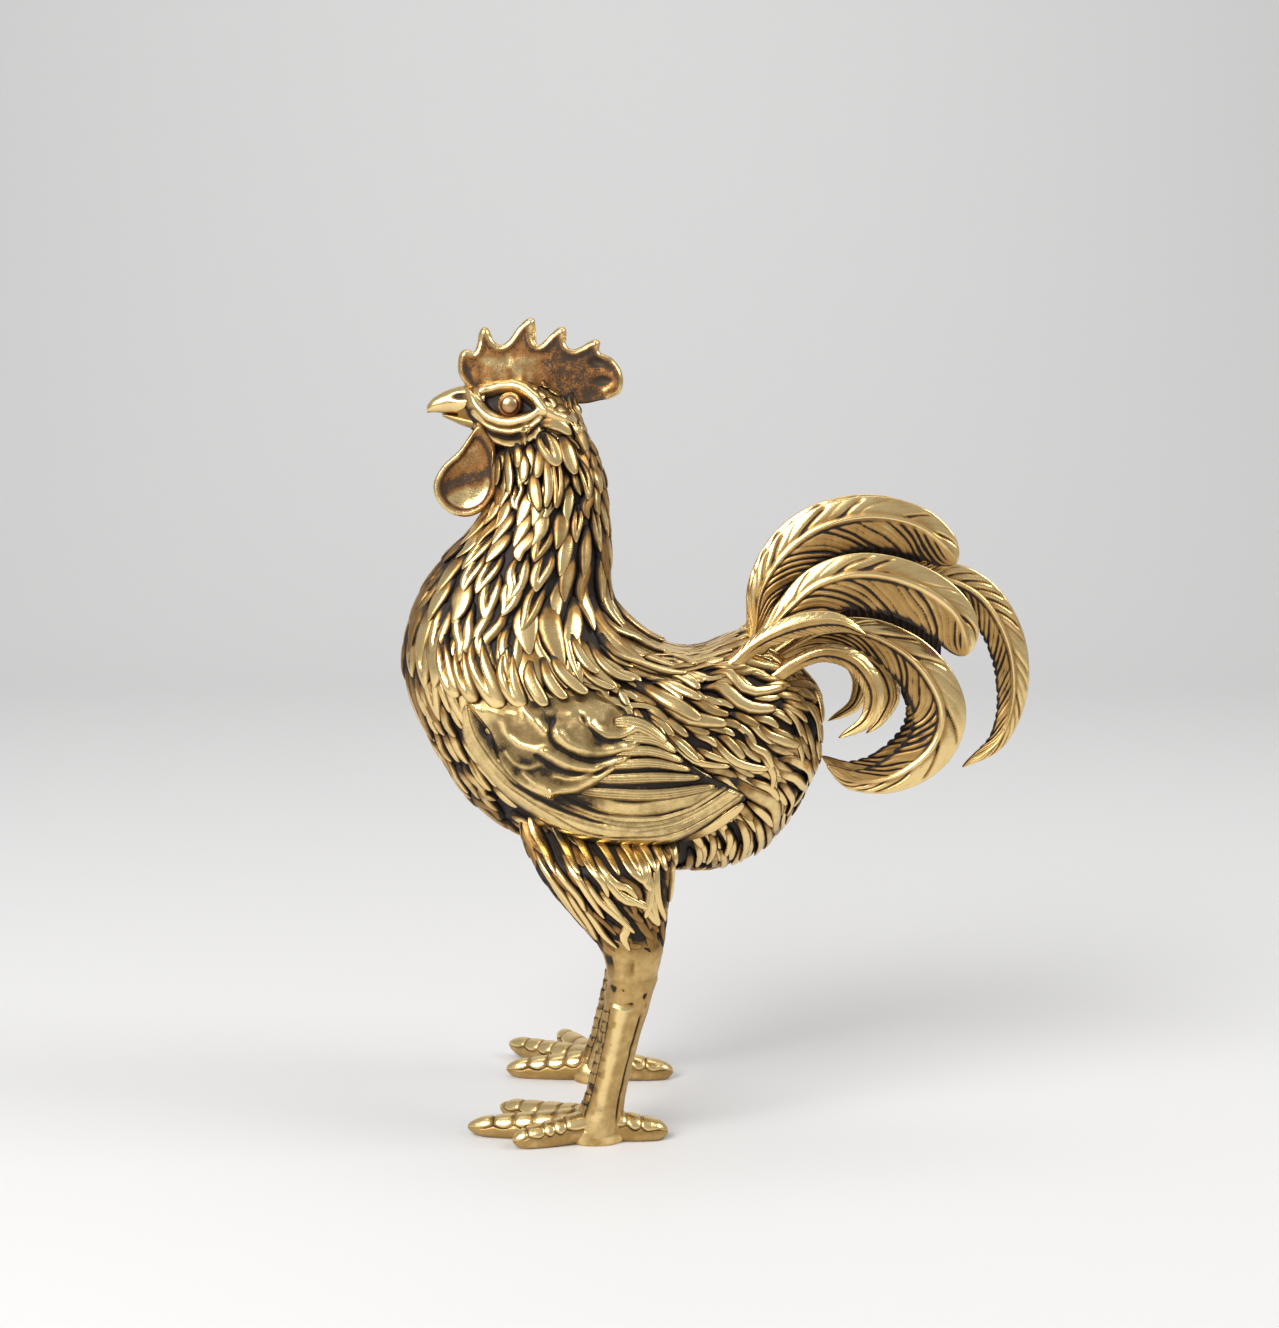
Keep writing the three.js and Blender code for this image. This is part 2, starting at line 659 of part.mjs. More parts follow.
// Beak: two mandibles that meet on the mouth line. x, top z, bottom z, half width.
const upperBeak = [
  [-43, 137, 131.6, 4.2],
  [-46.5, 136.3, 132, 3],
  [-50, 135.2, 132.4, 1.7],
  [-52.4, 134.2, 132.4, 0.9],
  [-53.4, 133.2, 132.2, 0.25],
];
const lowerBeak = [
  [-43, 131.4, 128.6, 3.8],
  [-46.5, 131.8, 129.8, 2.5],
  [-49.2, 132.1, 131, 1.3],
  [-50.6, 132.2, 131.6, 0.4],
];

function beakSolid(stations) {
  return loft(
    stations.map(([x, top, bottom, half]) =>
      range(10).map((k) => {
        const turn = (2 * Math.PI * k) / 10;
        const rise = (top - bottom) / 2;
        return at(x, half * Math.sin(turn), (top + bottom) / 2 + rise * Math.cos(turn));
      }),
    ),
  );
}

const nostril = (side) => egg(at(-46, side * 3.1, 134.6), V(1.3, 0.7, 0.5), 4);

// Comb: a plate with a rounded front lobe, four spikes that lean back and a round rear lobe.
const combFront = [[-45.6, 139.8], [-47.6, 140.4], [-46.9, 143.4]];
const combSpikes = [
  { tip: [-42.7, 147.9], valley: [-39.9, 144.6] },
  { tip: [-33.8, 149.7], valley: [-32.9, 144.5] },
  { tip: [-28, 148], valley: [-26.6, 143.7] },
  { tip: [-22, 145.8], valley: [-21.2, 143] },
];
const combRear = [[-17.4, 142], [-16.2, 136.4], [-20, 134.7]];

const combSeatLine = [[-26.4, 135.4], [-31, 137.6], [-43, 137.6]];

function upright(outline, thickness) {
  const settings = { depth: thickness, curveSegments: 5, bevelEnabled: false };
  const geometry = new THREE.ExtrudeGeometry(outline, settings);
  geometry.translate(0, 0, -thickness / 2).rotateX(Math.PI / 2);
  return solidOf(geometry.scale(alongScale, 1, upScale));
}

function combPlate() {
  const outline = new THREE.Shape().moveTo(-45.2, 137.6);
  outline.quadraticCurveTo(...combFront[0], ...combFront[1]);
  outline.quadraticCurveTo(...combFront[2], -44.6, 143.4);
  for (const { tip, valley } of combSpikes) {
    outline.lineTo(tip[0] - 0.5, tip[1] - 0.4);
    outline.quadraticCurveTo(...tip, tip[0] + 0.25, tip[1] - 0.7);
    outline.quadraticCurveTo(tip[0] + 0.2, valley[1] + 0.6, ...valley);
  }
  outline.quadraticCurveTo(...combRear[0], -17.2, 138.4);
  outline.quadraticCurveTo(...combRear[1], ...combRear[2]);
  combSeatLine.forEach(([x, z]) => outline.lineTo(x, z - combSeat));
  return upright(outline, combThickness);
}

// Slot of the head for the comb's tongue.
function combSlot() {
  const slot = new THREE.Shape().moveTo(-46, 142);
  slot.lineTo(-46, 137.2);
  [...combSeatLine].reverse().forEach(([x, z]) => slot.lineTo(x, z - combSeat - seatGap));
  slot.lineTo(-19, combRear[2][1] - 2 * seatGap);
  slot.lineTo(-19, 142);
  return upright(slot, combThickness + 2 * seatGap);
}

// The comb thins from its seat to the tips of its spikes.
function combTaper() {
  const [low, high] = [combRear[2][1], Math.max(...combSpikes.map(({ tip }) => tip[1])) + 0.8];
  const levels = [[low - combSeat - 3, 1], [low + 3, 1], [high, combTipShare]];
  return loft(
    levels.map(([z, share]) => {
      const half = (combThickness * share) / 2;
      return [at(-60, -half, z), at(0, -half, z), at(0, half, z), at(-60, half, z)];
    }),
  );
}

// Each side of the comb is dished inside its rim, with two dimples in the rear lobe.
// Middle x and z, half length and half height.
const combDishes = [
  [-34.4, 141.2, 8.6, 3],
  [-22.9, 141.5, 1.5, 1.1],
  [-21.6, 138.1, 1.7, 1.2],
];
const combDishDepth = 0.45;
function combDish([x, z, halfLength, halfHeight], side) {
  const radii = V(halfLength, 2 * combDishDepth, halfHeight);
  return egg(at(x, side * (combThickness / 2 + combDishDepth), z), radii, 4);
}

// Wattle: a drop with a dished outer face, pegged under the beak. x, z, half width.
const wattleStations = [
  [-43.2, 129.6, 1.2],
  [-43.9, 127, 2.6],
  [-44.9, 123.6, 4.6],
  [-45.8, 119.8, 5.7],
  [-46.6, 116.4, 5],
  [-47, 114.2, 3],
  [-47.1, 113.3, 0.8],
];

function wattleSolid(side, height = 0) {
  const curve = sideSpline(wattleStations);
  const rings = wattleStations.map((station, i) => {
    const u = i / (wattleStations.length - 1);
    const middle = curve.getPoint(u);
    const ahead = curve.getTangent(u);
    const across = V(ahead.z, 0, -ahead.x);
    const thick = (wattleHalfThickness * Math.min(1, 0.6 + station[2] / 12)) + height;
    return range(12).map((k) => {
      const turn = (2 * Math.PI * k) / 12;
      const point = middle.clone().addScaledVector(across, (station[2] + height) * Math.cos(turn));
      point.y = side * wattleSpread + thick * Math.sin(turn);
      return point;
    });
  });
  return loft(rings);
}

function wattleDish(side) {
  const outerFace = side * (wattleSpread + wattleHalfThickness + 0.9);
  return egg(at(-46, outerFace, 119.4), V(3.9, 1.9, 5), 5);
}

// Hidden seats: dowels, pins and tenons.
const tenonAxis = () => {
  const from = trunkFrame(capeTop).centre;
  const aim = trunkFrame(capeTop + 1).centre.sub(from).normalize();
  return { from, aim };
};

function neckTenon(height) {
  const { from, aim } = tenonAxis();
  const start = from.clone().addScaledVector(aim, -3);
  const end = from.clone().addScaledVector(aim, neckTenonLength + (height ? dowelBlind : 0));
  return pin(start, end, neckTenonRadius + height);
}

const dowels = {
  front: trunkFrame(capeHem - 0.7).centre,
  rear: trunkFrame(10.9).centre.add(V(-1, 0, -1)),
};
function dowel(centre, height) {
  const half = V(0, dowelLength / 2 + (height ? dowelBlind : 0), 0);
  return pin(centre.clone().sub(half), centre.clone().add(half), dowelRadius + height);
}

function thighPin(side, height, radius = thighPinRadius) {
  const low = at(-19.6, side * 14.6, 43);
  const high = low.clone().add(V(2, -side * 5.8, thighPinLength));
  const extra = high.clone().sub(low).normalize().multiplyScalar(height ? dowelBlind : 0);
  return pin(low.sub(extra), high.add(extra), radius + height);
}

// Assembly.
const brass = { color: 0xb98a3e, roughness: 0.32, metalness: 1 };
const tarnished = { color: 0x9a6238, roughness: 0.42, metalness: 1 };
const bird = new THREE.Group();

function piece(name, solid, finish = brass) {
  const largest = solid.decompose().sort((a, b) => b.volume() - a.volume())[0];
  const { numProp, vertProperties, triVerts } = largest.getMesh();
  const points = new THREE.InterleavedBuffer(vertProperties, numProp);
  const geometry = new THREE.BufferGeometry();
  geometry.setAttribute("position", new THREE.InterleavedBufferAttribute(points, 3, 0));
  geometry.setIndex(new THREE.BufferAttribute(triVerts, 1));
  const mesh = new THREE.Mesh(geometry, new THREE.MeshStandardMaterial(finish));
  mesh.name = name;
  bird.add(mesh);
}

const bothSides = Object.entries(sides);
const tail = [];
for (const [name, spec] of Object.entries(plumes)) {
  if (spec.y[0] === 0) tail.push({ name, spec, side: 1 });
  else bothSides.forEach(([word, side]) => tail.push({ name: `${name}_${word}`, spec, side }));
}

// The trunk: plumage and spigot, hollowed, drilled for its pins and split on the centre line.
// Its flanks are smooth where the wings and the thighs close on them.
const hemCut = 0.04; // stations between the cape and the trunk castings
const hemTips = capeHem + hemReach;
const trunkSkin = (height) => trunkLength(capeHem + hemCut, lastStation, height - plumage, 32, 12);
const spigotShape = (top, height) =>
  trunkLength(top, capeHem + 0.4, height - plumage - capeWall, 10, 4);
const underPieces = (along, angle) => {
  const down = Math.acos(Math.cos(angle));
  const belly = along > 7 && along < 11.2 ? 2.85 : 2.5;
  const underTip = along < 11.3 && down > 1 && down < 2.3;
  return underTip || (along < 10.7 && down > 0.85 && down < belly);
};
const trunkStart = [capeHem + hemCut, hemTips - 0.3].map((along) =>
  plainRing(onTrunk, along, -plumage, trunkFeathers * acrossFeather),
);
const trunkEnd = [plainRing(onTrunk, lastStation, -plumage, trunkFeathers * acrossFeather)];
const trunkRings = plumedRings(onTrunk, {
  from: hemTips - 0.2,
  to: lastStation - 1.1,
  rows: trunkRows,
  feathers: trunkFeathers,
  base: -plumage,
  relief: plumage,
  start: trunkStart,
  flat: underPieces,
});
const bosses = joined(bothSides.map(([, side]) => thighPin(side, 0, thighPinRadius + bossWall)));
const hollow = cut(trunkLength(hollowFrom, hollowTo, -plumage - bodyWall, 12, 4), bosses);
const strands = bothSides.flatMap(([, side]) =>
  broadStrands.map((strand) => ridgeOn(strand, side, -plumage - 0.5, strandRise)),
);
const plainTrunk = joined([loft([...trunkRings, ...trunkEnd]), spigotShape(spigotTop, 0), ...strands]);
const drillings = [
  ...tail.map(({ spec, side }) => plumeSolid(spec, side, seatGap)),
  ...bothSides.flatMap(([, side]) => studs.map((place) => wingStud(place, side, seatGap))),
  ...bothSides.map(([, side]) => thighPin(side, seatGap)),
  ...Object.values(dowels).map((centre) => dowel(centre, seatGap)),
];
const trunk = cut(plainTrunk, hollow, ...drillings);
for (const [word, side] of bothSides) {
  const [near, far] = [seatGap / 2, beyond].map((y) => side * y);
  const low = V(-beyond, Math.min(near, far), -beyond);
  const high = V(beyond, Math.max(near, far), beyond);
  piece(`body_${word}`, trunk.intersect(block(low, high)));
}

// The cape: feathered neck, bored for the spigot and the head's tenon, its hem lying over the trunk.
const wattlePockets = joined(bothSides.map(([, side]) => wattleSolid(side, seatGap)));
const capePoints = capeFeathers * acrossFeather;
const capePitch = (hemTips - capeTop - 0.1) / (capeRows + featherPoint);
const capeRings = plumedRings(onTrunk, {
  from: capeTop + 0.1,
  to: hemTips - capePitch * featherPoint,
  rows: capeRows,
  feathers: capeFeathers,
  base: -plumage,
  relief: plumage,
  start: [plainRing(onTrunk, capeTop, -plumage, capePoints)],
});
const hemUnder = seatGap + hemEase - plumage;
const tipStation = (keel) => hemTips - (1 - keel) * featherPoint * capePitch;
const underTips = range(capePoints).map((i) => {
  const angle = (2 * Math.PI * i) / capePoints;
  return onTrunk(tipStation(keelAt(i, capeRows - 1)), angle, hemUnder);
});
const tucked = plainRing(onTrunk, capeHem, hemUnder, capePoints);
const aboveHead = trunkLength(0, capeTop, 6, 16, 3);
const wings = Object.fromEntries(bothSides.map(([word, side]) => [word, wingSolid(side)]));
const wingPockets = joined(bothSides.map(([, side]) => wingSolid(side, seatGap)));
const cape = cut(
  loft([...capeRings, underTips, tucked]),
  spigotShape(spigotTop - 0.12, seatGap),
  neckTenon(seatGap),
  wattlePockets,
  wingPockets,
  aboveHead,
);
piece("neck_hackle", cape);

// The head: skull, neck stub, beak and face, with its slot, sockets and peg holes.
const skull = loft(range(9).map((i) => headRing(i / 8, 0, 14)));
const stub = trunkLength(0, capeTop - 0.05, -plumage * 0.5, 20, 3);
const face = bothSides.flatMap(([, side]) => headFeatures(side));
const belowHead = trunkLength(capeTop - 0.05, 3, 8, 16, 4);
const headBlank = cut(joined([skull, stub, beakSolid(upperBeak), beakSolid(lowerBeak), ...face]), belowHead);
const headCuts = [
  combSlot(),
  wattlePockets,
  ...bothSides.flatMap(([, side]) => [eyeSocket(side), nostril(side)]),
];
piece("head", cut(headBlank.add(neckTenon(0)), ...headCuts));
const dishes = bothSides.flatMap(([, side]) => combDishes.map((dish) => combDish(dish, side)));
piece("comb", cut(combPlate().intersect(combTaper()), ...dishes), tarnished);
for (const [word, side] of bothSides) {
  piece(`eye_${word}`, egg(eyeCentre(side), V(1, 1, 1).multiplyScalar(eyeRadius), 5));
  piece(`wattle_${word}`, cut(wattleSolid(side), wattleDish(side)), tarnished);
}

// Wings, legs and pins.
for (const [word, side] of bothSides) {
  const ridges = swirlRidges.map((ridge) => wingRidge(ridge, side));
  piece(`wing_${word}`, joined([wings[word], ...ridges, ...studs.map((place) => wingStud(place, side, 0))]));
  const tenonBore = pin(
    kneeMiddle(side, -2),
    kneeMiddle(side, legTenonLength + dowelBlind),
    legTenonRadius + seatGap,
  );
  const bores = [trunkSkin(2 * seatGap), wingPockets, tenonBore, thighPin(side, seatGap)];
  piece(`thigh_${word}`, cut(thighSolid(side), ...bores));
  piece(`thigh_pin_${word}`, thighPin(side, 0));
  piece(`leg_${word}`, legSolid(word, side));
}
for (const [word, centre] of Object.entries(dowels)) piece(`seam_dowel_${word}`, dowel(centre, 0));
for (const { name, spec, side } of tail) piece(name, plumeSolid(spec, side));

// The origin is on the table, under the middle of the whole bird.
const box = new THREE.Box3().setFromObject(bird);
const middle = box.getCenter(new THREE.Vector3());
bird.position.set(-middle.x, -middle.y, -box.min.z);
const figurine = new THREE.Group();
figurine.add(bird);

export default figurine;
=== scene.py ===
# %% [markdown]
# # A cast brass cockerel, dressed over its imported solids
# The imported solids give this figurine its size, its place and its joints with the table. They are plain,
# so here each casting gets the surface that it has in the hand: laid feathers, barbs, scutes, a toothed
# comb, and brass that was toned dark and then rubbed bright on every ridge.
# Every new piece is a surface worked out with numpy: rings of points carried along a path.

# %% Load the solids and note their size
import math

import bpy
import numpy as np
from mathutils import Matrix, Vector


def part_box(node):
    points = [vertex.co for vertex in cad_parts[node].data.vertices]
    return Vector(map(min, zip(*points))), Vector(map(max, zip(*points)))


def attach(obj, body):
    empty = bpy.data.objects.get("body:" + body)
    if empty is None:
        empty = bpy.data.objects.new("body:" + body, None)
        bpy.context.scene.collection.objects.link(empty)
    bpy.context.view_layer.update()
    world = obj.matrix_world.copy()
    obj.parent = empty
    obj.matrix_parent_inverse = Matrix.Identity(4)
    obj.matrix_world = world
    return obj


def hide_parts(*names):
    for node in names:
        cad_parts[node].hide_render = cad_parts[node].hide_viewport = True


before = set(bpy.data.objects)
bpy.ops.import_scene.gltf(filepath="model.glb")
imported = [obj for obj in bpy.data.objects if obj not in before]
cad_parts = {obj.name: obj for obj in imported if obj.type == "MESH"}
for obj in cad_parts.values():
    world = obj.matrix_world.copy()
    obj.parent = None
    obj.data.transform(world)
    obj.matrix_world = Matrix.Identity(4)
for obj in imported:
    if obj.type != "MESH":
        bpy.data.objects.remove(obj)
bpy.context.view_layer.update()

# %% [markdown]
# ## Where things are
# The bird is laid out in a side view in millimetres: x runs from the beak to the tail, y away from the
# camera, z up from the table, and y = 0 is the bird's own centre line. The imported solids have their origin
# under the middle of the whole bird, so one shift, read from the eye and the comb, joins the two.

# %% From the side view to the frame
MM = 0.001
SIDES = {"left": -1, "right": 1}  # the bird's left side is the one that the camera sees
EYE_X = -38.7  # place of the eye in the side view

eye_low, eye_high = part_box("eye_left")
comb_low, comb_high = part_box("comb")
SHIFT = np.array([(eye_low.x + eye_high.x) / 2 / MM - EYE_X, (comb_low.y + comb_high.y) / 2 / MM, 0.0])
print("shift in mm:", SHIFT.round(3))


def to_frame(points):
    """Side view millimetres to metres in the frame: the shift is added, then all is scaled by MM."""
    return (np.asarray(points, float) + SHIFT) * MM


# %% [markdown]
# ## Camera
# The photograph looks at the bird's left side from slightly above its head, from close by: the far foot is
# seen well above the near one. A lens 372 mm from the centre line and 131 mm over the table, tipped down by
# seven degrees, gives both feet their places.

# %% Camera
LENS_PLACE = (-14.33, -372.0, 131.0)
TIP_DOWN = 6.9385  # degrees
FOCAL_PIXELS, LONG_SIDE = 2005, 1328

camera = bpy.data.objects.new("camera", bpy.data.cameras.new("camera"))
camera.location = to_frame(LENS_PLACE)
camera.rotation_euler = (math.radians(90 - TIP_DOWN), 0, 0)
camera.data.sensor_width = 36
camera.data.lens = FOCAL_PIXELS / LONG_SIDE * camera.data.sensor_width
camera.data.clip_start = 0.01
bpy.context.scene.collection.objects.link(camera)
bpy.context.scene.camera = camera
print("lens:", round(camera.data.lens, 2), "mm")

# %% [markdown]
# ## Working with arrays
# A smooth line through a few measured points carries most of the shapes here. Catmull-Rom weights pass
# through every point, so a measured outline stays measured. Soft noise from a small table of seeded random
# numbers keeps hand work from looking machined.

# %% Lines, distances and noise
def smooth_line(points, place):
    """Line through points at a place from 0 to n - 1: a cubic blend of the four points around it."""
    points = np.asarray(points, float)
    padded = np.concatenate([2 * points[:1] - points[1:2], points, 2 * points[-1:] - points[-2:-1]])
    place = np.clip(place, -0.8, len(points) - 0.2)
    i = np.clip(np.floor(place).astype(int), 0, len(points) - 2)
    f = (place - i).reshape(np.shape(place) + (1,) * (points.ndim - 1))
    a, b, c, d = (padded[i + k] for k in range(4))
    return 0.5 * (2 * b + (c - a) * f + (2 * a - 5 * b + 4 * c - d) * f**2 + (3 * b - a - 3 * c + d) * f**3)


def even_line(points, count, fineness=600):
    """The same line at count places an equal way apart: the length is summed and read backwards."""
    fine = smooth_line(points, np.linspace(0, len(points) - 1, fineness))
    way = np.concatenate([[0], np.cumsum(np.linalg.norm(np.diff(fine, axis=0), axis=1))])
    even = np.linspace(0, way[-1], count)
    return np.stack([np.interp(even, way, fine[:, k]) for k in range(fine.shape[1])], -1)


def blend(low, high, value):
    """Smooth step: 0 below low, 1 above high, and 3t^2 - 2t^3 between them."""
    t = np.clip((value - low) / (high - low), 0, 1)
    return t * t * (3 - 2 * t)


def bell(value, width):
    """Bell of height 1 at zero: e to the power of minus the square of value over width."""
    return np.exp(-(value / width) ** 2)


def arch(value, least=0.0):
    """Half circle of height 1 over zero. Under its root nothing goes below least."""
    return np.sqrt(np.clip(1 - value**2, least, 1))


def from_line(place, line):
    """Least distance of each place (..., 2) from a polyline, by its foot on every stretch."""
    a, b = line[:-1], line[1:]
    along = b - a
    reach = place[..., None, :] - a
    foot = np.clip((reach * along).sum(-1) / (along**2).sum(-1), 0, 1)
    return np.linalg.norm(reach - foot[..., None] * along, axis=-1).min(-1)


def from_curve(place, points, count):
    """Least distance of each place from the smooth line through points, taken as count places."""
    return from_line(place, even_line(points, count))


def grid(low, high, rows, turns, turn=0.0):
    """Column of shares from low to high, and row of angles once round from a first turn."""
    return np.linspace(low, high, rows)[:, None], np.linspace(turn, turn + 2 * np.pi, turns + 1)[None, :-1]


TABLE = np.random.default_rng(11).random(4096) * 2 - 1


def noise(x, y, z=0.0):
    """Soft swell from -1 to 1: random numbers on a unit lattice, blended with smooth weights."""
    cells, weights = [], []
    for value in np.broadcast_arrays(x, y, z):
        cell = np.floor(value)
        f = value - cell
        cells.append(cell.astype(int))
        weights.append(f * f * (3 - 2 * f))
    total = 0
    for corner in range(8):
        at = [corner & 1, corner >> 1 & 1, corner >> 2]
        share = 1
        for k in range(3):
            share = share * (weights[k] if at[k] else 1 - weights[k])
        index = sum((cells[k] + at[k]) * step for k, step in enumerate((73, 1021, 2749)))
        total = total + share * TABLE[index % len(TABLE)]
    return total


# %% [markdown]
# ## From rings to a mesh
# A feather, a toe, a plume and a wing are all the same thing to the mesh: a stack of closed rings with a
# point at each end. One function turns any number of such stacks into one closed mesh, and turns its faces
# outwards. Each vertex also carries how high it stands in the raised work, from 0 in a recess to 1 on a
# ridge, which is what the finish reads. On some pieces painted highlights and painted shade are added to this
# value.

# %% Stacks of rings
made = []


def stack_faces(stacks, rings, count):
    """Quads between neighbouring rings and fans to the two end points of every stack, as index arrays."""
    each = rings * count + 2
    ring, k = np.meshgrid(np.arange(rings - 1), np.arange(count), indexing="ij")
    a, b = ring * count + k, ring * count + (k + 1) % count
    quads = np.stack([a, b, b + count, a + count], -1).reshape(-1, 4)
    k = np.arange(count)
    last = (rings - 1) * count
    start = np.stack([np.full(count, each - 2), (k + 1) % count, k], -1)
    end = np.stack([np.full(count, each - 1), last + k, last + (k + 1) % count], -1)
    offsets = np.arange(stacks)[:, None, None] * each
    return (quads + offsets).reshape(-1, 4), (np.vstack([start, end]) + offsets).reshape(-1, 3)


def plate_rings(place, front, back, tone, back_tone):
    """Rings of a plate over side view places: across its front sheet, and back again over its back sheet."""
    front, back = (np.stack([place[..., 0], y, place[..., 1]], -1) for y in (front, back))
    return np.concatenate([front, back[:, ::-1]], 1), np.concatenate([tone, back_tone[:, ::-1]], 1)


def make_piece(name, points, relief_and_painted_light, material, nodes):
    """Mesh object of stacks (stack, ring, count, 3) in side view mm. It rides on the bird, in place of the
    nodes. The volume that the faces close off tells whether they look outwards."""
    if points.ndim == 3:
        points, relief_and_painted_light = points[None], relief_and_painted_light[None]
    stacks, rings, count, _ = points.shape
    ends = points[:, [0, -1]].mean(2)
    flat = np.concatenate([points.reshape(stacks, -1, 3), ends], 1)
    tone = np.concatenate([relief_and_painted_light.reshape(stacks, -1), relief_and_painted_light[:, [0, -1]].mean(2)], 1)
    quads, tris = stack_faces(stacks, rings, count)
    flat, tone = flat.reshape(-1, 3), tone.reshape(-1)
    a, b, c, d = (flat[quads[:, k]] for k in range(4))
    volume = (np.cross(a, b) * c).sum() + (np.cross(a, c) * d).sum()
    a, b, c = (flat[tris[:, k]] for k in range(3))
    volume += (np.cross(a, b) * c).sum()
    if volume < 0:
        quads, tris = quads[:, ::-1], tris[:, ::-1]
    corners = np.concatenate([quads.ravel(), tris.ravel()])
    starts = np.concatenate([np.arange(len(quads)) * 4, len(quads) * 4 + np.arange(len(tris)) * 3])
    mesh = bpy.data.meshes.new(name)
    mesh.vertices.add(len(flat))
    mesh.loops.add(len(corners))
    mesh.polygons.add(len(starts))
    mesh.vertices.foreach_set("co", to_frame(flat).ravel())
    mesh.loops.foreach_set("vertex_index", corners.astype(np.int32))
    mesh.polygons.foreach_set("loop_start", starts.astype(np.int32))
    mesh.polygons.foreach_set("use_smooth", np.ones(len(starts), bool))
    mesh.update(calc_edges=True)
    mesh.attributes.new("relief_and_painted_light", "FLOAT", "POINT").data.foreach_set("value", tone.astype(np.float32))
    mesh.materials.append(material)
    piece = bpy.data.objects.new(name, mesh)
    bpy.context.scene.collection.objects.link(piece)
    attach(piece, "root")
    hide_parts(*nodes)
    triangles = 2 * len(quads) + len(tris)
    made.append((name, triangles))
    print(f"{name}: {stacks} stacks, {triangles} triangles")
    return piece


# %% [markdown]
# ## The finish: toned brass, rubbed bright
# A raised casting like this one is dipped until it is nearly black, and then polished, so the black stays
# only where the cloth doesn't reach. The group takes the vertex's value of raised work, to which some pieces
# add painted highlights and painted shade, roughens its edge with noise, and passes from the dark tone over a
# brown one to polished brass. It gives out a colour, a roughness, how metallic the surface is, and a height
# for fine bumps.

# %% The patina group
def new_group(name, inputs, outputs):
    """Empty node group with named float or colour sockets, and its input and output nodes."""
    group = bpy.data.node_groups.new(name, "ShaderNodeTree")
    for label, kind, value in inputs:
        socket = group.interface.new_socket(label, in_out="INPUT", socket_type="NodeSocket" + kind)
        socket.default_value = value
    for label, kind in outputs:
        group.interface.new_socket(label, in_out="OUTPUT", socket_type="NodeSocket" + kind)
    return group, group.nodes.new("NodeGroupInput"), group.nodes.new("NodeGroupOutput")


class Wires:
    """Short ways to add nodes to a tree and join them."""

    def __init__(self, tree):
        self.tree = tree

    def put(self, socket, value):
        """A link into the socket, or a plain value for it."""
        if isinstance(value, bpy.types.NodeSocket):
            self.tree.links.new(value, socket)
        else:
            socket.default_value = value

    def math(self, kind, *values):
        """Sum of one kind over its values, such as ADD for one plus the other."""
        node = self.tree.nodes.new("ShaderNodeMath")
        node.operation = kind
        for socket, value in zip(node.inputs, values):
            self.put(socket, value)
        return node.outputs[0]

    def smooth(self, value, low, high, to_low=0.0, to_high=1.0):
        """Smooth step: goes from to_low to to_high while the value goes from low to high."""
        node = self.tree.nodes.new("ShaderNodeMapRange")
        node.interpolation_type = "SMOOTHSTEP"
        for label, part in zip(("Value", "From Min", "From Max", "To Min", "To Max"),
                               (value, low, high, to_low, to_high)):
            self.put(node.inputs[label], part)
        return node.outputs[0]

    def mix(self, share, first, second):
        """Colour between two: the first at a share of 0, the second at 1."""
        node = self.tree.nodes.new("ShaderNodeMix")
        node.data_type = "RGBA"
        for socket, part in zip((node.inputs[0], node.inputs[6], node.inputs[7]), (share, first, second)):
            self.put(socket, part)
        return node.outputs[2]

    def noise(self, where, scale, detail=3.0, rough=0.55):
        """Cloudy pattern of about scale swells per metre, with finer ones laid over it."""
        node = self.tree.nodes.new("ShaderNodeTexNoise")
        self.put(node.inputs["Vector"], where)
        for label, part in (("Scale", scale), ("Detail", detail), ("Roughness", rough)):
            self.put(node.inputs[label], part)
        return node.outputs[0]


patina, given, result = new_group("patina", [
    ("Relief_and_painted_light", "Float", 0.5), ("Dark", "Color", (0.016, 0.009, 0.005, 1)),
    ("Toned", "Color", (0.33, 0.185, 0.06, 1)), ("Polished", "Color", (0.89, 0.66, 0.3, 1)),
    ("Wear", "Float", 0.0), ("Grain", "Float", 0.3), ("Speckle", "Float", 0.0),
], [("Colour", "Color"), ("Roughness", "Float"), ("Metallic", "Float"), ("Height", "Float")])
w = Wires(patina)
where = patina.nodes.new("ShaderNodeTexCoord").outputs["Object"]
coarse = w.noise(where, 160.0, 2.0)
middle = w.noise(where, 700.0, 3.0)
fine = w.noise(where, 3200.0, 2.0, 0.7)
ragged, cloudy, peppered = (
    w.math("MULTIPLY", w.math("SUBTRACT", value, 0.5), given.outputs[share])
    for value, share in ((middle, "Grain"), (coarse, "Grain"), (fine, "Speckle")))
height = w.math("ADD", w.math("ADD", given.outputs["Relief_and_painted_light"], given.outputs["Wear"]),
    w.math("ADD", ragged, cloudy))
height = w.math("ADD", height, peppered)
toned = w.smooth(height, 0.16, 0.44)
bright = w.smooth(height, 0.46, 0.92)
specks = w.math("MULTIPLY", w.smooth(fine, 0.52, 0.68), given.outputs["Speckle"])
bright = w.math("MULTIPLY", bright, w.math("SUBTRACT", 1.0, specks))
colour = w.mix(bright, w.mix(toned, given.outputs["Dark"], given.outputs["Toned"]),
    given.outputs["Polished"])
w.put(result.inputs["Colour"], colour)
w.put(result.inputs["Roughness"], w.math("ADD", w.smooth(height, 0.2, 0.85, 0.55, 0.2),
    w.math("MULTIPLY", fine, 0.1)))
w.put(result.inputs["Metallic"], w.smooth(height, 0.08, 0.4, 0.3, 1.0))
w.put(result.inputs["Height"], w.math("ADD", w.math("MULTIPLY", middle, 0.7),
    w.math("MULTIPLY", fine, 0.3)))


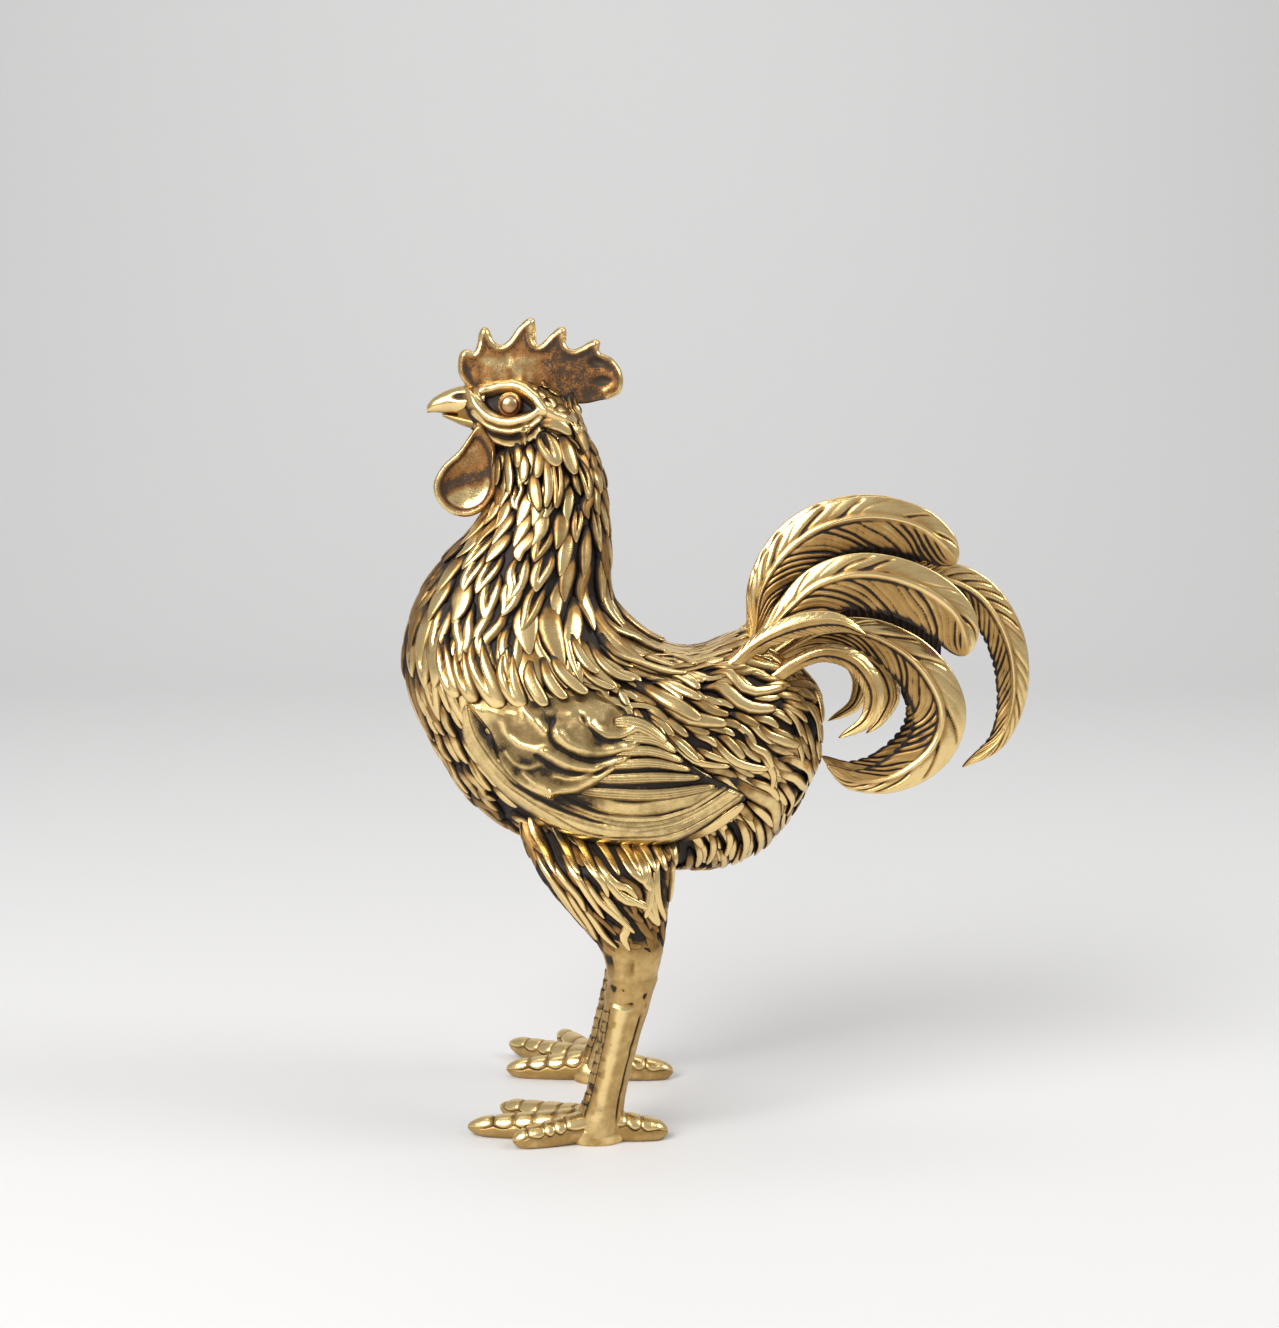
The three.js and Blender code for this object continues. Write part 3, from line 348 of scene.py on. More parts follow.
def finish(name, bump=0.25, **values):
    """Brass: the patina group feeds the colour, roughness and metal of a Principled shader, and a bump."""
    material = bpy.data.materials.new(name)
    material.use_nodes = True
    tree = material.node_tree
    shader = tree.nodes["Principled BSDF"]
    group = tree.nodes.new("ShaderNodeGroup")
    group.node_tree = patina
    relief_and_painted_light = tree.nodes.new("ShaderNodeAttribute")
    relief_and_painted_light.attribute_name = "relief_and_painted_light"
    tree.links.new(relief_and_painted_light.outputs["Fac"], group.inputs["Relief_and_painted_light"])
    for label, value in values.items():
        group.inputs[label].default_value = value
    bumps = tree.nodes.new("ShaderNodeBump")
    bumps.inputs["Strength"].default_value = bump
    bumps.inputs["Distance"].default_value = 0.0002
    tree.links.new(group.outputs["Height"], bumps.inputs["Height"])
    for label, socket in (("Colour", "Base Color"), ("Roughness", "Roughness"), ("Metallic", "Metallic")):
        tree.links.new(group.outputs[label], shader.inputs[socket])
    tree.links.new(bumps.outputs["Normal"], shader.inputs["Normal"])
    return material


feather_brass = finish("feather_brass", Grain=0.35)
wing_brass = finish("wing_brass", bump=0.5, Grain=0.35, Speckle=0.45, Toned=(0.3, 0.205, 0.085, 1))
head_brass = finish("head_brass", Grain=0.22)
tail_brass = finish("tail_brass", Grain=0.25, Toned=(0.47, 0.28, 0.095, 1))
leg_brass = finish("leg_brass", Grain=0.3, bump=0.4, Toned=(0.42, 0.26, 0.09, 1))
comb_brass = finish("comb_brass", bump=0.6, Grain=0.45, Speckle=0.9, Toned=(0.31, 0.145, 0.048, 1),
                    Dark=(0.05, 0.028, 0.014, 1))
eye_brass = finish("eye_brass", bump=0.1, Grain=0.2, Toned=(0.3, 0.13, 0.06, 1))
pin_brass = finish("pin_brass", Grain=0.3, Wear=0.75)
print("finishes:", len(bpy.data.materials))

# %% [markdown]
# ## Trunk
# The trunk is a row of ovals from the nape to the tail head. Each row of the table holds a place on the
# back, the place across from it on the breast or belly, and half the width there. Between them the skin is
# an oval that leans with the line from the one to the other.

# %% The trunk as a surface
TRUNK = [
    [-24.4, 130.1, -42.2, 125.5, 8], [-21.1, 122.8, -42.4, 118.1, 9], [-19.8, 114.5, -45, 112.2, 11],
    [-19.2, 106.1, -51.4, 105.2, 14], [-19.1, 99.6, -56.1, 97.7, 16.5], [-17, 95.5, -58.5, 89.3, 19],
    [-12.4, 91.2, -57.7, 80.8, 21], [-6.8, 89.3, -52.8, 69.5, 22], [-2.1, 89.7, -44.4, 58, 22],
    [2.6, 91.7, -29.4, 50.3, 21.5], [6.3, 92.5, -14.2, 47.2, 20], [11, 90.2, 2.2, 47.4, 17],
    [15.7, 85.5, 13.1, 55.1, 12], [19.5, 80.8, 20, 67.5, 5],
]
SKIN = -1.3  # the skin lies this far under the crests of the feathers
TAIL_HEAD = len(TRUNK) - 1  # last station


def trunk_frame(station):
    """Middle, half height, unit line to the back and half width of the oval at a station."""
    row = smooth_line(TRUNK, station)
    back, front = row[..., 0:2], row[..., 2:4]
    centre = (back + front) / 2
    reach = np.linalg.norm(back - centre, axis=-1)
    return centre, reach, (back - centre) / reach[..., None], row[..., 4]


def trunk(station, angle, height):
    """Place on the oval at an angle from the back line, growing to the near side, and a height over it."""
    station, angle, height = np.broadcast_arrays(station, angle, height)
    centre, reach, up, half = trunk_frame(station)
    side = centre + up * ((reach + height) * np.cos(angle))[..., None]
    return np.stack([side[..., 0], -(half + height) * np.sin(angle), side[..., 1]], -1)


def station_of(place, low, halvings):
    """Station whose oval holds each side view place, by halving the stretch of stations above low."""
    low, high = (np.full(place.shape[:-1], float(end)) for end in (low, TAIL_HEAD))

    def ahead(station):
        centre, _, up, _ = trunk_frame(station)
        reach = place - centre
        return reach[..., 1] * up[..., 0] - reach[..., 0] * up[..., 1]

    first = ahead(low)
    for _ in range(halvings):
        middle = (low + high) / 2
        past = first * ahead(middle) <= 0
        high, low = np.where(past, middle, high), np.where(past, low, middle)
    return low


def flank(place, height):
    """Half width of the trunk at side view places behind the neck: that of the oval there, times the root of
    1 minus the square of how far out the place lies in it."""
    centre, reach, _, half = trunk_frame(station_of(place, 4, 22))
    share = np.minimum(np.linalg.norm(place - centre, axis=-1) / (reach + height), 1)
    return (half + height) * np.sqrt(1 - share**2)


station, angle = grid(-0.5, TAIL_HEAD, 94, 96)
skin = trunk(station, angle, SKIN + 0.15 * noise(station * 3, np.sin(angle) * 6, np.cos(angle) * 6)
    - 2.2 * blend(12, 13, station) - 1.2 * blend(0.45, -0.3, station))
make_piece("trunk_skin", skin, np.full(skin.shape[:2], 0.05), feather_brass,
           ["body_left", "body_right", "neck_hackle"])

# %% [markdown]
# ## Feathers
# On the casting every feather is a raised leaf, rounded across, with its root under the row before it and
# its point standing clear. Each is twelve rings carried along a short path that is drawn on the surface
# itself, so leaves bend round the neck and the flanks by themselves. Many are split by a dark wedge that
# opens towards the root, as in the photograph.

# %% One rule for all the leaves
rng = np.random.default_rng(5)
WEDGE_WIDTH, WEDGE_END = 0.44, 0.78  # the dark wedge of a leaf: half width at the root, share at its end
LAST_LEAF = TAIL_HEAD - 0.03  # station that no leaf passes
half_across = np.array([0.07, 0.2, 0.36, 0.58, 0.8, 0.94, 1])
half_crown = np.array([1, 1, 0.99, 0.92, 0.72, 0.3, -0.7])
half_tone = np.array([1, 1, 1, 0.94, 0.5, 0.06, 0])
LEAF = [np.concatenate([-half_across[::-1], half_across]), np.tile(half_crown, 2), np.tile(half_tone, 2)]
LEAF[1][:7], LEAF[2][:7] = half_crown[::-1], half_tone[::-1]
SHARE = np.array([0, 0.06, 0.14, 0.24, 0.36, 0.48, 0.6, 0.71, 0.81, 0.89, 0.95, 0.99])


def mm_per_unit(surface, first, second, small=0.01):
    """How many mm a surface runs per unit of its two numbers: the way of a small step, over the step."""
    here = surface(first, second, 0.0)
    ends = surface(first + small, second, 0.0), surface(first, second + small, 0.0)
    return [np.linalg.norm(end - here, axis=-1) / small for end in ends]


def laid(surface, paths, width, rise, lift=0.9, groove=0.0, dull=0.0, point=0.5, sink=0.0, root=0.5,
         fade=0.5, section=LEAF):
    """Leaf rings on a surface, along paths (leaf, 4, 2) in the surface's own two numbers. Sizes in mm. The
    half width grows as a power of the way gone and closes as a power of the way left; the height is the
    section's crown on a ramp that rises by lift towards the point. The groove is a wedge of the section
    whose half width shrinks evenly from the root. Dull lowers the polish of a whole leaf, and its root is
    dark as far as fade."""
    paths = np.asarray(paths, float)
    across, crown, leaf_tone = section
    share, across = SHARE[None, :, None], across[None, None, :]
    middle = np.moveaxis(smooth_line(np.moveaxis(paths, 1, 0), SHARE * 3), 0, 1)
    first, second = middle[..., 0], middle[..., 1]
    width, rise, lift, groove, dull, sink = (np.broadcast_to(value, len(paths))[:, None, None]
        for value in (width, rise, lift, groove, dull, sink))
    per_first, per_second = np.maximum(mm_per_unit(surface, first, second), 0.5)
    along = np.gradient(middle, SHARE, axis=1) * np.stack([per_first, per_second], -1)
    along /= np.linalg.norm(along, axis=-1)[..., None]
    body = share**root * (1 - share) ** point
    body = body / body.max()
    aside = across * body * width / 2
    first = first[..., None] - along[..., 1:] * aside / per_first[..., None]
    second = second[..., None] + along[..., :1] * aside / per_second[..., None]
    wedge = WEDGE_WIDTH * (1 - share / WEDGE_END)
    dip = 1 - groove * blend(wedge + 0.08, wedge - 0.08, np.abs(across)) * blend(0.0, 0.1, share)
    height = SKIN - sink + lift * share + rise * crown * dip * body**0.4
    points = surface(first, second, height)
    tone = leaf_tone * dip * (0.2 + 0.8 * blend(0.05, fade, share)) * (1 - dull) + 0 * height
    return points, tone


def strokes(start, angle, length, turn, wave, surface):
    """Paths (leaf, 4, 2) that leave a place at a turn from the surface's own way and swing by wave, in mm."""
    per_start, per_angle = mm_per_unit(surface, start + 0.4, angle)
    u = np.arange(4) / 3
    ahead, aside = length[:, None] * u, wave[:, None] * np.sin(2.2 * np.pi * u)
    cos, sin = np.cos(turn)[:, None], np.sin(turn)[:, None]
    return np.stack([start[:, None] + (ahead * cos - aside * sin) / per_start[:, None],
                     angle[:, None] + (ahead * sin + aside * cos) / per_angle[:, None]], -1)


def uneven(count, jitter):
    """Angles once round, 2 pi / count apart, each of them off by a normal share of that, jitter wide."""
    return (np.arange(count) + rng.uniform(0, 1) + rng.normal(0, jitter, count)) * 2 * np.pi / count


def ring_of(station, width, jitter):
    """Angles round the trunk at a station: as many widths as go into 2 pi times its mean radius."""
    _, reach, _, half = trunk_frame(np.array([station]))
    return uneven(round((reach[0] + half[0]) / 2 * 2 * np.pi / width), jitter)


def sown(surface, rows, flatter=1.0, duller=0.0, **look):
    """Leaves from rows of starts, angles, lengths, widths, rises, turns, waves, grooves and dulls."""
    start, angle, length, width, rise, turn, wave, groove, dull = np.concatenate(rows, 1)
    paths = strokes(start, angle, length, turn, wave, surface)
    paths[..., 0] = np.minimum(paths[..., 0], LAST_LEAF)
    return laid(surface, paths, width, flatter * rise, groove=groove, dull=dull + duller, **look)


def on_flank(lines):
    """Station and angle of side view places (..., 2) on the near side. The cosine of the angle is the way out
    from the middle of the oval, over its half height."""
    place = np.asarray(lines, float)
    station = station_of(place, 0, 24)
    centre, reach, up, _ = trunk_frame(station)
    share = ((place - centre) * up).sum(-1) / reach
    return np.stack([station, np.arccos(np.clip(share, -0.995, 0.995))], -1)


# %% [markdown]
# ### Hackle
# The cape of the neck: small leaves under the head that grow to broad ones on the breast, in rows that hang
# over each other like tiles. They are longer and narrower down the back of the neck. The lowest row ends in
# a ragged hem over the wing.

# %% Hackle leaves
HACKLE_ROWS = [-0.78, -0.62, -0.36, -0.1, 0.18, 0.5, 0.86, 1.27, 1.72, 2.2, 2.72, 3.28, 3.9, 4.55, 5.25]
parts = []
for station in HACKLE_ROWS:
    grown = blend(0.2, 4.4, station)
    angles = ring_of(station, 2.55 + 2.5 * grown, 0.12)
    if station < 0:
        angles = angles[np.cos(angles) > 0.35]
    count = len(angles)
    nape = blend(0.1, 0.8, np.cos(angles)) * blend(0.5, 2.5, station)
    # leaves low on the back of the neck are made duller: partly darker bronze, partly painted shade
    behind = blend(-0.1, 0.6, np.cos(angles)) * blend(3.6, 2.4, station)
    turn = 0.22 * np.sin(angles) * grown * blend(2.4, 1.2, np.abs(((angles + np.pi) % (2 * np.pi)) - np.pi))
    parts.append([station + rng.normal(0, 0.05, count), angles,
        (5.0 + 6.4 * grown) * (1 + 0.4 * nape) * rng.uniform(0.85, 1.15, count),
        (2.9 + 2.7 * grown) * (1 - 0.3 * nape) * rng.uniform(0.88, 1.1, count),
        rng.uniform(0.8, 1.1, count), turn + rng.normal(0, 0.12, count), rng.normal(0, 0.3, count),
        np.where(rng.random(count) < 0.25 + 0.4 * grown * (1 - nape), 0.98, 0.0),
        np.clip(rng.normal(0.08, 0.14, count) + 0.3 * blend(-0.75, -0.98, np.cos(angles)) + 0.25 * behind,
        0, 0.5)])
sink = 0.12 * (np.arange(sum(len(part[0]) for part in parts)) % 3)
points, tone = sown(trunk, parts, lift=0.85, point=0.85, root=0.6, sink=sink)
make_piece("hackle_leaves", points, tone, feather_brass, ["neck_hackle"])

# %% [markdown]
# ### Saddle and rump strands
# These large strands give the bird its sweep, so they follow the photograph one by one. Each row holds four
# places of the side view and a width. The far side gets the same strands, mirrored.

# %% Strands laid one by one
SADDLE = [
    [-21.1, 96.9, -18.8, 93.6, -15.1, 91.6, -9.9, 88.9, 1.9],
    [-21.2, 93.6, -18.8, 89.7, -13.7, 87.5, -6, 85.7, 1.9],
    [-23, 92, -21.3, 88.5, -18.7, 86.1, -15.5, 84.9, 1.9],
    [-24.9, 88.4, -23.1, 85.9, -20.9, 84.5, -19.1, 83.7, 1.7],
    [-15.8, 85.5, -11.5, 82.8, -7.9, 80.6, -3.6, 77.9, 2.4],
    [-11.8, 85.1, -8.9, 84.4, -6.4, 82.9, -3.6, 81.4, 1.6],
    [-29.6, 90.2, -28.5, 87.4, -26.3, 85, -23.8, 83, 2.4],
    [-31.4, 89.9, -30.6, 86.4, -29.2, 84, -27.4, 82.2, 2.2],
    [-33.5, 89.2, -33.7, 86.1, -32.4, 83.3, -30.9, 80.9, 2.5],
    [-37.1, 91.4, -37.8, 87.8, -37.1, 84.3, -34.9, 80.7, 3.7],
    [-42.7, 93.4, -43.2, 89.5, -41.5, 85.2, -38.6, 80.4, 4.4],
    [-49.9, 93.4, -49.4, 89.1, -48.2, 85.2, -46.4, 82, 3.5],
    [-46.3, 92, -46.2, 88.5, -45.2, 85, -43.2, 81.4, 3.5],
    [-17.6, 84, -17.5, 83, -17.1, 81.9, -16.6, 80.8, 1.2],
    [-15.1, 80.5, -14.7, 79.3, -14.1, 78.1, -13.4, 77, 1.2],
    [-12.2, 78.7, -11.3, 77.3, -10.5, 75.9, -9.8, 74.1, 1.1],
    [-9.7, 76.2, -7.7, 74.2, -5.7, 72.3, -3.6, 70.6, 1.1],
    [-18.4, 98.9, -17, 95.2, -12.5, 92.4, -8.6, 90.6, 1.6],
    [-26.4, 93.6, -25.3, 90.6, -23.9, 88.2, -22.1, 86.4, 2],
]
RUMP = [
    [-2.9, 85.7, 1.5, 86.2, 5.6, 82.7, 12.3, 82.7, 1.9],
    [-3.3, 83.6, 0.4, 83.8, 4.8, 80.2, 10.4, 79.2, 2.2],
    [-0.2, 87.8, 2.8, 88.6, 7.2, 87.3, 11.9, 85.6, 2.3],
    [-15, 88.6, -11.6, 88.8, -7.5, 88.4, -4.1, 87.2, 1.3],
    [-15, 87.7, -11.3, 87, -6.9, 85.5, -3.7, 83.2, 1.8],
    [-15, 84.4, -10.6, 82.3, -5.5, 78.6, 1.4, 77, 2.7],
    [-12, 84.6, -10.2, 84.3, -8, 82.9, -6.8, 81.4, 1.2],
    [-6.6, 82.3, -3.7, 81.2, -1.1, 79.5, 1.6, 78.7, 1.6],
    [-1.5, 75.5, 0.7, 72.3, 3.7, 69.9, 9.1, 68.6, 1.5],
    [-0.4, 75.2, 1.1, 74.6, 2.9, 72.7, 4.4, 70.8, 1.5],
    [-10.3, 75.9, -7.7, 73.3, -3.7, 70.4, 1.9, 69.5, 1.3],
    [12, 83.6, 14.6, 83.2, 17.6, 82, 20.6, 80.4, 1.6],
    [6.6, 77.4, 8.9, 74.9, 11.6, 73.5, 14.9, 72.2, 1.8],
    [10.9, 80.1, 12.8, 78.5, 14.3, 76.5, 15.2, 73.8, 1.2],
    [13.8, 80.1, 16.6, 79.2, 18.4, 76.4, 19, 72.1, 1.5],
    [15.6, 77, 16.6, 74.3, 17.4, 71.8, 18.2, 68.5, 1.5],
    [4.2, 76.3, 5.9, 73.1, 8.5, 71.4, 9.8, 68.7, 1.4],
    [10.4, 70.3, 13.6, 69.7, 16.7, 67.7, 17.7, 64.4, 1.8],
    [10.1, 68.3, 12, 67.1, 14.5, 65.8, 16.5, 63.7, 1.5],
    [10.5, 66.1, 12.3, 64.4, 13.9, 61.6, 12.9, 58.7, 1.4],
    [1.5, 67.8, 5.6, 64.6, 10.3, 61.5, 11, 56.2, 2.4],
    [4.9, 62.7, 6.8, 61.1, 8.8, 59.2, 10.9, 57, 1.4],
    [4.4, 67.4, 7.1, 65.9, 9.6, 64.6, 11.1, 62.4, 1.4],
    [0.9, 57.7, 1.9, 56.1, 2.2, 54.1, 1.5, 51.5, 1.3],
    [2.7, 59.7, 4.5, 57.4, 5.4, 53.7, 4.5, 49.6, 1.5],
    [5.5, 60.3, 7.3, 57.5, 8.2, 53.6, 7.4, 50.2, 1.4],
    [8, 59.1, 9.4, 56.2, 9.9, 53, 9, 50.4, 1.4],
    [-2.2, 57, -1.1, 55.2, -0.8, 52.7, -1.8, 49.9, 1.3],
    [-4.8, 54.9, -3.6, 53.2, -3.2, 51.3, -3.7, 49.2, 1.2],
    [-0.3, 53.3, 0.9, 51.8, 1.4, 49.9, 1.1, 48.4, 1.2],
    [6.4, 72.6, 8.4, 70.2, 9.9, 67.4, 9.6, 64.6, 1.4],
    [13.5, 86, 16, 85, 18.5, 82.5, 20, 79, 1.8],
    [16, 84, 18, 82, 19.3, 79, 19.9, 75.5, 1.6],
    [13.2, 74.6, 14.5, 72.8, 15.3, 70.6, 15.6, 68.6, 1.3],
    [16.6, 67.4, 17, 65.2, 15.8, 62.4, 14, 60.6, 1.3],
]


def lay_strands(name, rows, nodes, **look):
    """Both sides' strands from rows of four places and a width: the far side has the angle turned about."""
    rows = np.array(rows)
    near = on_flank(rows[:, :8].reshape(-1, 4, 2))
    far = near * [1, -1]
    width = np.tile(rows[:, 8] * 1.2, 2)
    paths = np.concatenate([near, far])
    points, tone = laid(trunk, paths, width, 0.5 + 0.28 * np.minimum(width, 3), point=0.32, **look)
    make_piece(name, points, tone, feather_brass, nodes)


dull = np.clip(rng.normal(0.05, 0.1, 2 * len(SADDLE)), 0, 0.3)
lay_strands("saddle_strands", SADDLE, ["body_left", "body_right"], lift=1.15, dull=dull,
            groove=np.tile([0.95 * (row[8] > 3.1) for row in SADDLE], 2), sink=-0.35)
dull = np.clip(rng.normal(0.08, 0.12, 2 * len(RUMP)), 0, 0.35)
lay_strands("rump_strands", RUMP, ["body_left", "body_right"], lift=0.7, dull=dull, sink=-0.3)
lay_strands("belly_fold", [[-7.6, 54.7, -3.1, 56.6, 0.9, 59.3, 4.5, 62.4, 2.6]],
    ["body_left", "body_right"], lift=0.4, dull=0.1)

# %% [markdown]
# ### Fluff between the strands
# Small strands fill the flanks between the large ones. Each starts on a jittered grid in the side view and
# follows the way of the large strands near it, so nothing crosses. Over the back and under the belly, where
# the side view is blind, rows of fluff run along the trunk instead.

# %% The way the strands flow
stretches = np.array(SADDLE + RUMP)[:, :8].reshape(-1, 4, 2)
stretch_way = np.diff(stretches, axis=1).reshape(-1, 2)
stretch_middle = ((stretches[:, 1:] + stretches[:, :-1]) / 2).reshape(-1, 2)


def flow(place):
    """Unit way at side view places: the ways of the strands' stretches, weighed by 1 / (d^2 + 1.5)^2."""
    weight = 1 / (((place[:, None] - stretch_middle) ** 2).sum(-1) + 1.5) ** 2
    way = weight @ stretch_way
    return way / np.linalg.norm(way, axis=1)[:, None]


# %% Fluff on the flanks
WING_LOWER = [[-46.6, 79.2], [-45.4, 72], [-37.6, 62.6], [-24, 55.4], [-9, 55.2], [4.6, 63]]
WING_UPPER = [[-46.2, 81.4], [-38, 83.2], [-24, 83.6], [-12.6, 77], [-4.4, 69.4], [4.8, 64.2]]
x, z = np.meshgrid(np.arange(-17, 22, 3.0), np.arange(45.4, 93, 2.7), indexing="ij")
x = x + 1.5 * (np.arange(x.shape[1]) % 2)
starts = np.stack([x, z], -1).reshape(-1, 2) + rng.normal(0, 0.45, (x.size, 2))
x, z = starts.T
trunk_place = on_flank(starts)
under_wing = ((x < 4.8) & (z < np.interp(x, *np.transpose(WING_UPPER)) - 0.5)
    & (z > np.interp(x, *np.transpose(WING_LOWER)) + 0.5))
seen = (np.abs(np.cos(trunk_place[:, 1])) < 0.93) & (trunk_place[:, 0] > 7.2) & (trunk_place[:, 0] < 12.9)
starts = starts[seen & ~under_wing & ~((x < -6) & (z < 60))]
count = len(starts)
step = rng.uniform(1.8, 2.7, count)[:, None]
path = [starts - 1.2 * step * flow(starts)]
for _ in range(3):
    path.append(path[-1] + step * flow(path[-1]) + rng.normal(0, 0.12, (count, 2)))
near = on_flank(np.stack(path, 1))
paths = np.concatenate([near, near * [1, -1]])
paths[..., 0] = np.minimum(paths[..., 0], LAST_LEAF)
look = np.tile([rng.uniform(1.5, 2.1, count), rng.uniform(0.75, 1.05, count),
    np.clip(rng.normal(0.2, 0.15, count), 0, 0.55)], 2)
points, tone = laid(trunk, paths, look[0], look[1], lift=0.6, dull=look[2], point=0.45, sink=0.1)
make_piece("flank_fluff", points, tone, feather_brass, ["body_left", "body_right"])

# %% Fluff over the back, under the belly and on the lower breast
parts = []
for station in np.arange(5.7, 12.8, 0.5):
    angles = ring_of(station, 2.7, 0.2)
    low = np.cos(angles) < np.interp(station, [7.4, 8.6, 9.6, 13], [-0.2, -0.3, -0.8, -0.85])
    angles = angles[(np.cos(angles) > 0.74) | low | (station < 7.4)]
    count = len(angles)
    side = np.sign(np.sin(angles))
    crosswise = side * 1.35 * blend(8.8, 9.8, station) * blend(-0.5, -0.75, np.cos(angles))
    parts.append([station + rng.normal(0, 0.1, count), angles,
        np.minimum(rng.uniform(6, 9.5, count), (13.0 - station) * 5), rng.uniform(1.9, 2.6, count),
        rng.uniform(0.8, 1.1, count), side * (0.3 + rng.normal(0, 0.12, count)) * blend(7, 9, station)
        * blend(1.3, 2.2, np.abs(np.arccos(np.cos(angles)))) * blend(11, 9.5, station) * (crosswise == 0)
        + crosswise, rng.normal(0, 0.5, count), np.where(rng.random(count) < 0.2, 0.8, 0.0),
        np.clip(rng.normal(0.22, 0.15, count), 0, 0.6)])
points, tone = sown(trunk, parts, lift=0.55, sink=0.15)
make_piece("body_fluff", points, tone, feather_brass, ["body_left", "body_right"])

# %% [markdown]
# ## Tail plumes
# A sickle feather is a long vane with its quill nearer to the outer edge. The outer vane is narrow and
# rounded, the inner one wide, cut by slanting grooves where the barbs part. The section is carried along
# the curve of the plume and swells and closes with it.

# %% Plume lines and their surface
PLUMES = {
    "tail_top": ([[6.4, 87.5], [7.4, 92.5], [8.6, 99.5], [12.8, 105.8], [19.2, 110.4], [27.9, 112.3],
        [36.5, 110.6], [43.8, 105.2]], (4, 5.2), 4.9, "blunt", 0.24),
    "tail_second": ([[5.2, 86.8], [8.6, 91.4], [13.4, 96.4], [18.8, 100.4], [26.2, 101.9], [34.9, 100],
        [41.8, 95.4], [45, 88.6]], (8.2, 10.2), 5.3, "blunt", 0.28),
    "tail_long_sickle": ([[7.5, 84.6], [12.5, 88.6], [20, 92], [28.2, 91.4], [36.4, 86.2], [41, 78.2],
        [39.4, 71], [33, 65.8], [25.6, 64.6], [20.4, 67.4]], (4.2, 5), 4.9, "pointed", 0.08),
    "tail_outer_sickle": ([[7.8, 86.2], [13.5, 91.6], [24.9, 98.2], [37.8, 101.9], [47.6, 99.2], [53.6, 91],
        [55.4, 80.8], [53, 71.6], [46.4, 66.2]], (0, 0), 3.7, "pointed", 0.05),
    "tail_inner_curl": ([[11.4, 84.6], [16.6, 87.4], [24, 88.6], [30.4, 85.6], [32.8, 80], [31, 75.4],
        [28.2, 72.6]], (0, 0), 1.9, "pointed", 0.26),
    "tail_small_curl": ([[8.6, 83.2], [14, 87], [19.5, 88.9], [25, 87.2], [28.3, 82], [27.1, 76.7],
        [22, 73.4]], (9, 10.4), 2.0, "pointed", 0.26),
    "tail_covert": ([[1.8, 86.4], [7.4, 91.2], [14.6, 94.3], [21.2, 94.9], [26.6, 92.6]], (11.6, 13.4), 2.1,
        "pointed", 0.26),
}
SWELL = {
    "blunt": [0, 0.15, 0.5, 0.82, 0.97, 1, 0.97, 0.84, 0.5],
    "pointed": [0, 0.12, 0.4, 0.75, 0.97, 1, 0.84, 0.5, 0.16],
}
STEM, THICKNESS = 1.5, 3.4  # radius of a stem, thickness of a full vane
PLUME_RINGS = 190
THINNEST = 0.12  # least half thickness of a vane
SLENDER = 2.5  # plumes of a smaller half width have one groove and hardly any barbs


